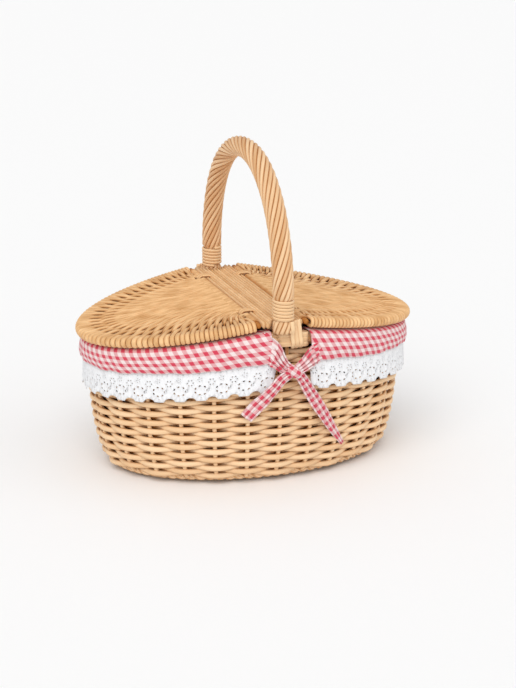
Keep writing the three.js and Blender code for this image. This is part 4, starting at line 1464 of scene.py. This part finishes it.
class BASKET_OT_cuffs(bpy.types.Operator):
    """Gingham cuffs folded over the border"""

    bl_idname = "basket.cuffs"
    bl_label = "Cuffs"

    INSIDE_GAP = 0.0010  # from the border
    OUTSIDE_GAP = 0.0028
    TOP_GAP = 0.0011
    CORNER = 0.004
    CORNER_STEPS = 6
    STEPS_ACROSS = 44
    STEPS_ALONG = 320
    PUFF = 0.0014  # how far the outer side bulges
    RIPPLE = 0.0004
    STRAY = 0.0011  # how far the checks stray along the cuff
    HEM_STRAYS = (0.0005, 0.0004)  # slow and quick rise and fall of the hem

    def execute(self, context):
        body = context.scene.basket_body
        trim = context.scene.basket_cloth
        outside = border_half(body) + body.border_thickness / 2 + self.OUTSIDE_GAP
        profile = self.profile(body, trim, outside)
        marks = [0.0]
        for a, b in zip(profile, profile[1:]):
            marks.append(marks[-1] + math.hypot(b.x - a.x, b.y - a.y))
        fold, width = marks[-2:]
        angles = trim_angles(body, trim, outside, self.STEPS_ALONG)
        length = trim_length(body, trim, outside)

        def place(across, along):
            goal = across * width
            k = max(i for i in range(len(marks) - 1) if marks[i] <= goal + 1e-9)
            share = (goal - marks[k]) / (marks[k + 1] - marks[k])
            half, z, follow = profile[k].lerp(profile[k + 1], share)
            down = smooth(fold, width, goal)
            puff = self.PUFF * math.sin(math.pi * max(0, (goal - fold) / (width - fold)))
            wave = math.sin(46 * math.pi * along + 3 * math.sin(9 * along)) + 0.6 * math.sin(91 * along)
            half += puff + self.RIPPLE * wave * down
            stray = self.STRAY / half * math.sin(61 * along + 2 * math.sin(17 * along)) * (1 - along)
            angle = angles[round(along * self.STEPS_ALONG)]
            angle += (drawn_angle(trim, half, along) + stray) * down
            slow, quick = self.HEM_STRAYS
            rise = slow * math.sin(29 * along) + quick * math.sin(83 * along + 1.3)
            return on_oval(body, half, angle, z + rise * down, follow)

        for side, turn in HALVES:
            mesh = cloth(place, width, length, self.STEPS_ACROSS, self.STEPS_ALONG, lean=trim.lean)
            bmesh.ops.transform(mesh, matrix=turn, verts=mesh.verts)
            piece = show(f"cuff_{side}_cloth", mesh, gingham(), [f"cuff_{side}"])
            thicken(piece, trim.cotton)
        return {"FINISHED"}

    def profile(self, body, trim, outside):
        """From the inner hem over the border to the outer hem: half length, height, share of the fall."""
        top = border_top(body)
        inside = border_half(body) - body.border_thickness / 2 - self.INSIDE_GAP
        level = top + self.TOP_GAP - self.CORNER
        profile = [Vector((inside, top - trim.cuff_tuck, 1))]
        for middle, start in ((inside + self.CORNER, math.pi), (outside - self.CORNER, math.pi / 2)):
            for i in range(self.CORNER_STEPS + 1):
                turn = start - math.pi / 2 * i / self.CORNER_STEPS
                half = middle + self.CORNER * math.cos(turn)
                profile.append(Vector((half, level + self.CORNER * math.sin(turn), 1)))
        profile.append(Vector((outside, top - trim.cuff_drop, trim.hem_follow)))
        return profile


class BASKET_OT_lace(bpy.types.Operator):
    """Eyelet lace with a scalloped edge below the cuffs"""

    bl_idname = "basket.lace"
    bl_label = "Lace"

    GAP = 0.0011  # lace outside the border
    LAP = 0.004  # lace behind the cuff's hem
    SPANS = 400
    RIPPLE = 0.0008
    FLOWER = 0.30  # place of the flower in a repeat
    BETWEEN = 0.80  # place of the notch between two scallops
    NOTCH_HALF = 0.0046
    NOTCH = 0.0030
    SCALLOP = 0.0010  # fall of a scallop below the ends of its curve
    EDGE_STEPS = 31  # cuts along the edge of a repeat
    BENDS = 5  # strips of a repeat that bend with the wall
    STITCHES = ((0, 0), (0.00018, 0.00032), (0.00035, 0))  # growth and lift of an eyelet's rings
    # Rings of eyelets: place, shift, height above the hem, eyelets, half length and half height of the
    # ring, half length and half width of an eyelet, share of a step before the first, turn of each
    RINGS = (
        (FLOWER, 0, 0.0095, 7, 0.0053, 0.0040, 0.00118, 0.00080, 0.5, math.pi / 2),
        (BETWEEN, 0, 0.0165, 6, 0.0025, 0.0025, 0.00066, 0.00066, 0, 0),
        (FLOWER, 0.0008, 0.0192, 5, 0.0018, 0.0018, 0.00050, 0.00050, 0, 0),
    )
    ROW_EYELETS = 4  # in the row below the cuff
    ROW_EYELET = 0.00042
    ROW_HEIGHT = 0.0238
    HEM_EYELET = (0.0006, 0.0005)
    HEM_HEIGHT = 0.0028

    def execute(self, context):
        body = context.scene.basket_body
        trim = context.scene.basket_cloth
        half = border_half(body) + body.border_thickness / 2 + self.GAP
        top = border_top(body) - trim.cuff_drop + self.LAP
        height = self.LAP + trim.lace_drop
        length = trim_length(body, trim, half)
        pitch = length / trim.motifs
        angles = trim_angles(body, trim, half, self.SPANS)
        for side, turn in HALVES:
            mesh = self.band(trim.motifs, pitch, height)
            for vert in mesh.verts:
                x, y, z = vert.co
                share = min(max(x / length, 0), 1) * self.SPANS
                k = min(int(share), self.SPANS - 1)
                down = -y / height
                drawn = drawn_angle(trim, half, share / self.SPANS) * (1 - down)
                angle = mixed(angles[k], angles[k + 1], share - k) + drawn
                ripple = self.RIPPLE * (1 + math.sin(2 * math.pi * (x / pitch + 0.3))) * down ** 1.5
                vert.co = turn @ on_oval(body, half + ripple + z, angle, top + y, trim.hem_follow)
            bmesh.ops.recalc_face_normals(mesh, faces=mesh.faces)
            piece = show(f"lace_{side}_band", mesh, lace_cotton(), [f"lace_{side}"])
            thicken(piece, trim.lace_cotton)
        return {"FINISHED"}

    def eyelet(self, mesh, x, y, long, wide, turn=0.0):
        """A stitched hole: its edge, a raised ring and the foot of the ring, whose edges are given back."""
        rings = []
        for grow, lift in self.STITCHES:
            matrix = (
                Matrix.Translation((x, y, lift))
                @ Matrix.Rotation(turn, 4, "Z")
                @ Matrix.Diagonal((long + grow, wide + grow, 1, 1))
            )
            circle = bmesh.ops.create_circle(mesh, cap_ends=False, segments=10, radius=1, matrix=matrix)
            rings.append(list({edge for vert in circle["verts"] for edge in vert.link_edges}))
        for inner, outer in zip(rings, rings[1:]):
            bmesh.ops.bridge_loops(mesh, edges=inner + outer)
        return rings[-1]

    def outline(self, mesh, pitch, height):
        """Straight top and sides of a repeat, and its scalloped edge with a notch."""
        bmesh.ops.create_grid(mesh, x_segments=1, y_segments=1, size=0.5)
        bmesh.ops.subdivide_edges(mesh, edges=mesh.edges[:], cuts=self.EDGE_STEPS)
        bmesh.ops.delete(mesh, geom=mesh.faces[:], context="FACES_ONLY")
        flower = self.FLOWER * pitch
        between = self.BETWEEN * pitch
        for vert in mesh.verts:
            x = (vert.co.x + 0.5) * pitch
            y = (vert.co.y - 0.5) * height
            if vert.co.y < -0.499:
                off = min(abs(x - between), abs(x - between + pitch)) / self.NOTCH_HALF
                y += self.NOTCH * math.sqrt(max(0, 1 - off * off))
                y += self.SCALLOP * min(abs(x - flower), abs(x - flower - pitch)) / pitch
            vert.co = (x, y, 0)
        return mesh.edges[:]

    def motif(self, pitch, height):
        """One repeat of the lace, drawn flat."""
        mesh = bmesh.new()
        lay = mesh.loops.layers.uv.new(LAY)
        edges = self.outline(mesh, pitch, height)
        for place, shift, above, eyelets, reach, rise, long, wide, start, turned in self.RINGS:
            for k in range(eyelets):
                turn = 2 * math.pi * (k + start) / eyelets
                x = place * pitch + shift + reach * math.cos(turn)
                y = above - height + rise * math.sin(turn)
                edges += self.eyelet(mesh, x, y, long, wide, turn + turned)
        for k in range(self.ROW_EYELETS):
            x = pitch * (k + 0.5) / self.ROW_EYELETS
            edges += self.eyelet(mesh, x, self.ROW_HEIGHT - height, self.ROW_EYELET, self.ROW_EYELET)
        edges += self.eyelet(mesh, self.FLOWER * pitch, self.HEM_HEIGHT - height, *self.HEM_EYELET)
        bmesh.ops.triangle_fill(mesh, use_beauty=True, edges=edges, normal=(0, 0, 1))
        for k in range(1, self.BENDS):
            bmesh.ops.bisect_plane(
                mesh, geom=mesh.verts[:] + mesh.edges[:] + mesh.faces[:],
                plane_co=(pitch * k / self.BENDS, 0, 0), plane_no=(1, 0, 0))
        for face in mesh.faces:
            face.smooth = True
        return mesh, lay

    def band(self, motifs, pitch, height):
        """Repeats of the lace side by side, joined into one band."""
        mesh, lay = self.motif(pitch, height)
        unit = mesh.verts[:] + mesh.edges[:] + mesh.faces[:]
        for i in range(1, motifs):
            copy = bmesh.ops.duplicate(mesh, geom=unit)["geom"]
            verts = [item for item in copy if isinstance(item, bmesh.types.BMVert)]
            bmesh.ops.translate(mesh, vec=(pitch * i, 0, 0), verts=verts)
        bmesh.ops.remove_doubles(mesh, verts=mesh.verts, dist=2e-5)
        for face in mesh.faces:
            for loop in face.loops:
                loop[lay].uv = loop.vert.co.xy
        return mesh


class BASKET_OT_ties(bpy.types.Operator):
    """Knotted gingham ties at the handle's feet"""

    bl_idname = "basket.ties"
    bl_label = "Ties"

    STEPS_ACROSS = 36
    STEPS_ALONG = 44
    GATHER = 1.4  # flat width of a strip for its greatest gathered width
    EDGE_CURL = 0.1  # how far a strip's edges curl in, for its width
    KNOT = (0.0074, 0.0044, 0.0054)  # half length, depth and height
    KNOT_LAY = (0.040, 0.020)  # flat size of the cloth round a knot
    CREASE = 0.09
    WAIST = 0.16
    WAIST_HALF = 0.35
    SWELL = 0.06

    def execute(self, context):
        body = context.scene.basket_body
        trim = context.scene.basket_cloth
        for end, left, right, turn in (
            ("front", "left", "right", AS_BUILT),
            ("rear", "right", "left", HALF_TURN),
        ):
            node = f"tie_knot_{end}"
            knot = self.knot(body, trim, end, turn)
            for side, stations in ((left, LEFT_STRAP), (right, RIGHT_STRAP)):
                name = f"strap_{end}_{side}"
                piece, flat = self.strip(body, trim, name, stations, node, turn, upright=True)
            for side, stations in ((left, LEFT_TAIL), (right, RIGHT_TAIL)):
                name = f"tail_{end}_{side}"
                piece, flat = self.strip(body, trim, name, stations, f"tie_{name}", turn)
        return {"FINISHED"}

    def curve(self, stations):
        """Smooth stations between given ones."""
        spans = len(stations) - 1
        points = []
        for i in range(self.STEPS_ALONG + 1):
            k = min(int(i * spans / self.STEPS_ALONG), spans - 1)
            t = i * spans / self.STEPS_ALONG - k
            a, b, c, d = (stations[min(max(j, 0), spans)] for j in range(k - 1, k + 3))
            points.append([
                q + t / 2 * (r - p + t * (2 * p - 5 * q + 4 * r - s + t * (3 * (q - r) + s - p)))
                for p, q, r, s in zip(a, b, c, d)
            ])
        return points

    def strip(self, body, trim, name, stations, node, turn, upright=False):
        """A gathered strip of cloth along stations on the front; its first edge may stand upright."""
        points = self.curve(stations)
        path = [on_front(body, half, x, z) for x, z, half, _, _ in points]
        ways = headings(path)
        length = measured(path)[-1]
        flat_width = self.GATHER * max(width for _, _, _, width, _ in points)

        def place(across, along):
            k = round(along * self.STEPS_ALONG)
            width, fold = points[k][3:]
            out = outward(body, path[k])
            over = ways[k].cross(out).normalized()
            if upright:
                edge = UP if over.z > 0 else -UP
                over = edge.lerp(over, smooth(0, 0.7, along)).normalized()
            side = 2 * across - 1
            pleat = fold * math.cos(4 * math.pi * side + 1.1 * math.sin(5 * along))
            return path[k] + over * width / 2 * side + out * (pleat - self.EDGE_CURL * width * side ** 4)

        mesh = cloth(place, flat_width, length, self.STEPS_ACROSS, self.STEPS_ALONG)
        bmesh.ops.transform(mesh, matrix=turn, verts=mesh.verts)
        piece = show(name, mesh, gingham(), [node])
        thicken(piece, trim.cotton)
        return piece, (flat_width, length)

    def knot(self, body, trim, end, turn):
        """A strip drawn tight across the ties: a creased ball that leans with the left strap."""
        mesh = bmesh.new()
        lay = mesh.loops.layers.uv.new(LAY)
        bmesh.ops.create_uvsphere(mesh, u_segments=48, v_segments=28, radius=1, calc_uvs=True)
        for face in mesh.faces:
            face.smooth = True
            for loop in face.loops:
                loop[lay].uv = loop[lay].uv * Vector(self.KNOT_LAY)
        lean = Matrix.Rotation(trim.knot_lean, 3, "Y")
        centre = on_front(body, trim.knot_out, trim.knot_x, trim.knot_z)
        for vert in mesh.verts:
            x, y, z = vert.co
            crease = 1 + self.CREASE * math.cos(7 * z + 1.5 * x) * (1 - x * x)
            waist = 1 - self.WAIST * math.exp(-(x / self.WAIST_HALF) ** 2)
            swell = 1 + self.SWELL * math.cos(5 * x)
            shape = Vector((x, y * crease * waist, z * waist * swell)) * Vector(self.KNOT)
            vert.co = turn @ (centre + lean @ shape)
        bmesh.ops.recalc_face_normals(mesh, faces=mesh.faces)
        return show(f"knot_{end}", mesh, gingham(), [f"tie_knot_{end}"])


class BASKET_PT_sidebar(bpy.types.Panel):
    """Lists the basket's operators"""

    bl_idname = "BASKET_PT_sidebar"
    bl_label = "Willow Picnic Basket"
    bl_space_type = "VIEW_3D"
    bl_region_type = "UI"
    bl_category = "Basket"

    def draw(self, context):
        for operator in OPERATORS:
            self.layout.operator(operator.bl_idname)


GROUPS = {
    "basket_body": BodySizes,
    "basket_handle": HandleSizes,
    "basket_lids": LidSizes,
    "basket_cloth": ClothSizes,
    "basket_colours": BasketColours,
    "basket_stage": StageSizes,
}
OPERATORS = (
    BASKET_OT_stage,
    BASKET_OT_wall,
    BASKET_OT_base,
    BASKET_OT_border,
    BASKET_OT_handle,
    BASKET_OT_bar,
    BASKET_OT_lids,
    BASKET_OT_liner,
    BASKET_OT_cuffs,
    BASKET_OT_lace,
    BASKET_OT_ties,
)


def register():
    for kind in (*GROUPS.values(), *OPERATORS, BASKET_PT_sidebar):
        bpy.utils.register_class(kind)
    for name, kind in GROUPS.items():
        setattr(bpy.types.Scene, name, PointerProperty(type=kind))


def unregister():
    for name in GROUPS:
        delattr(bpy.types.Scene, name)
    for kind in (BASKET_PT_sidebar, *reversed(OPERATORS), *reversed(GROUPS.values())):
        bpy.utils.unregister_class(kind)


def main():
    register()
    bpy.ops.basket.stage()
    bpy.ops.basket.wall()
    bpy.ops.basket.base()
    bpy.ops.basket.border()
    bpy.ops.basket.handle()
    bpy.ops.basket.bar()
    bpy.ops.basket.lids()
    bpy.ops.basket.liner()
    bpy.ops.basket.cuffs()
    bpy.ops.basket.lace()
    bpy.ops.basket.ties()


if __name__ == "__main__":
    main()
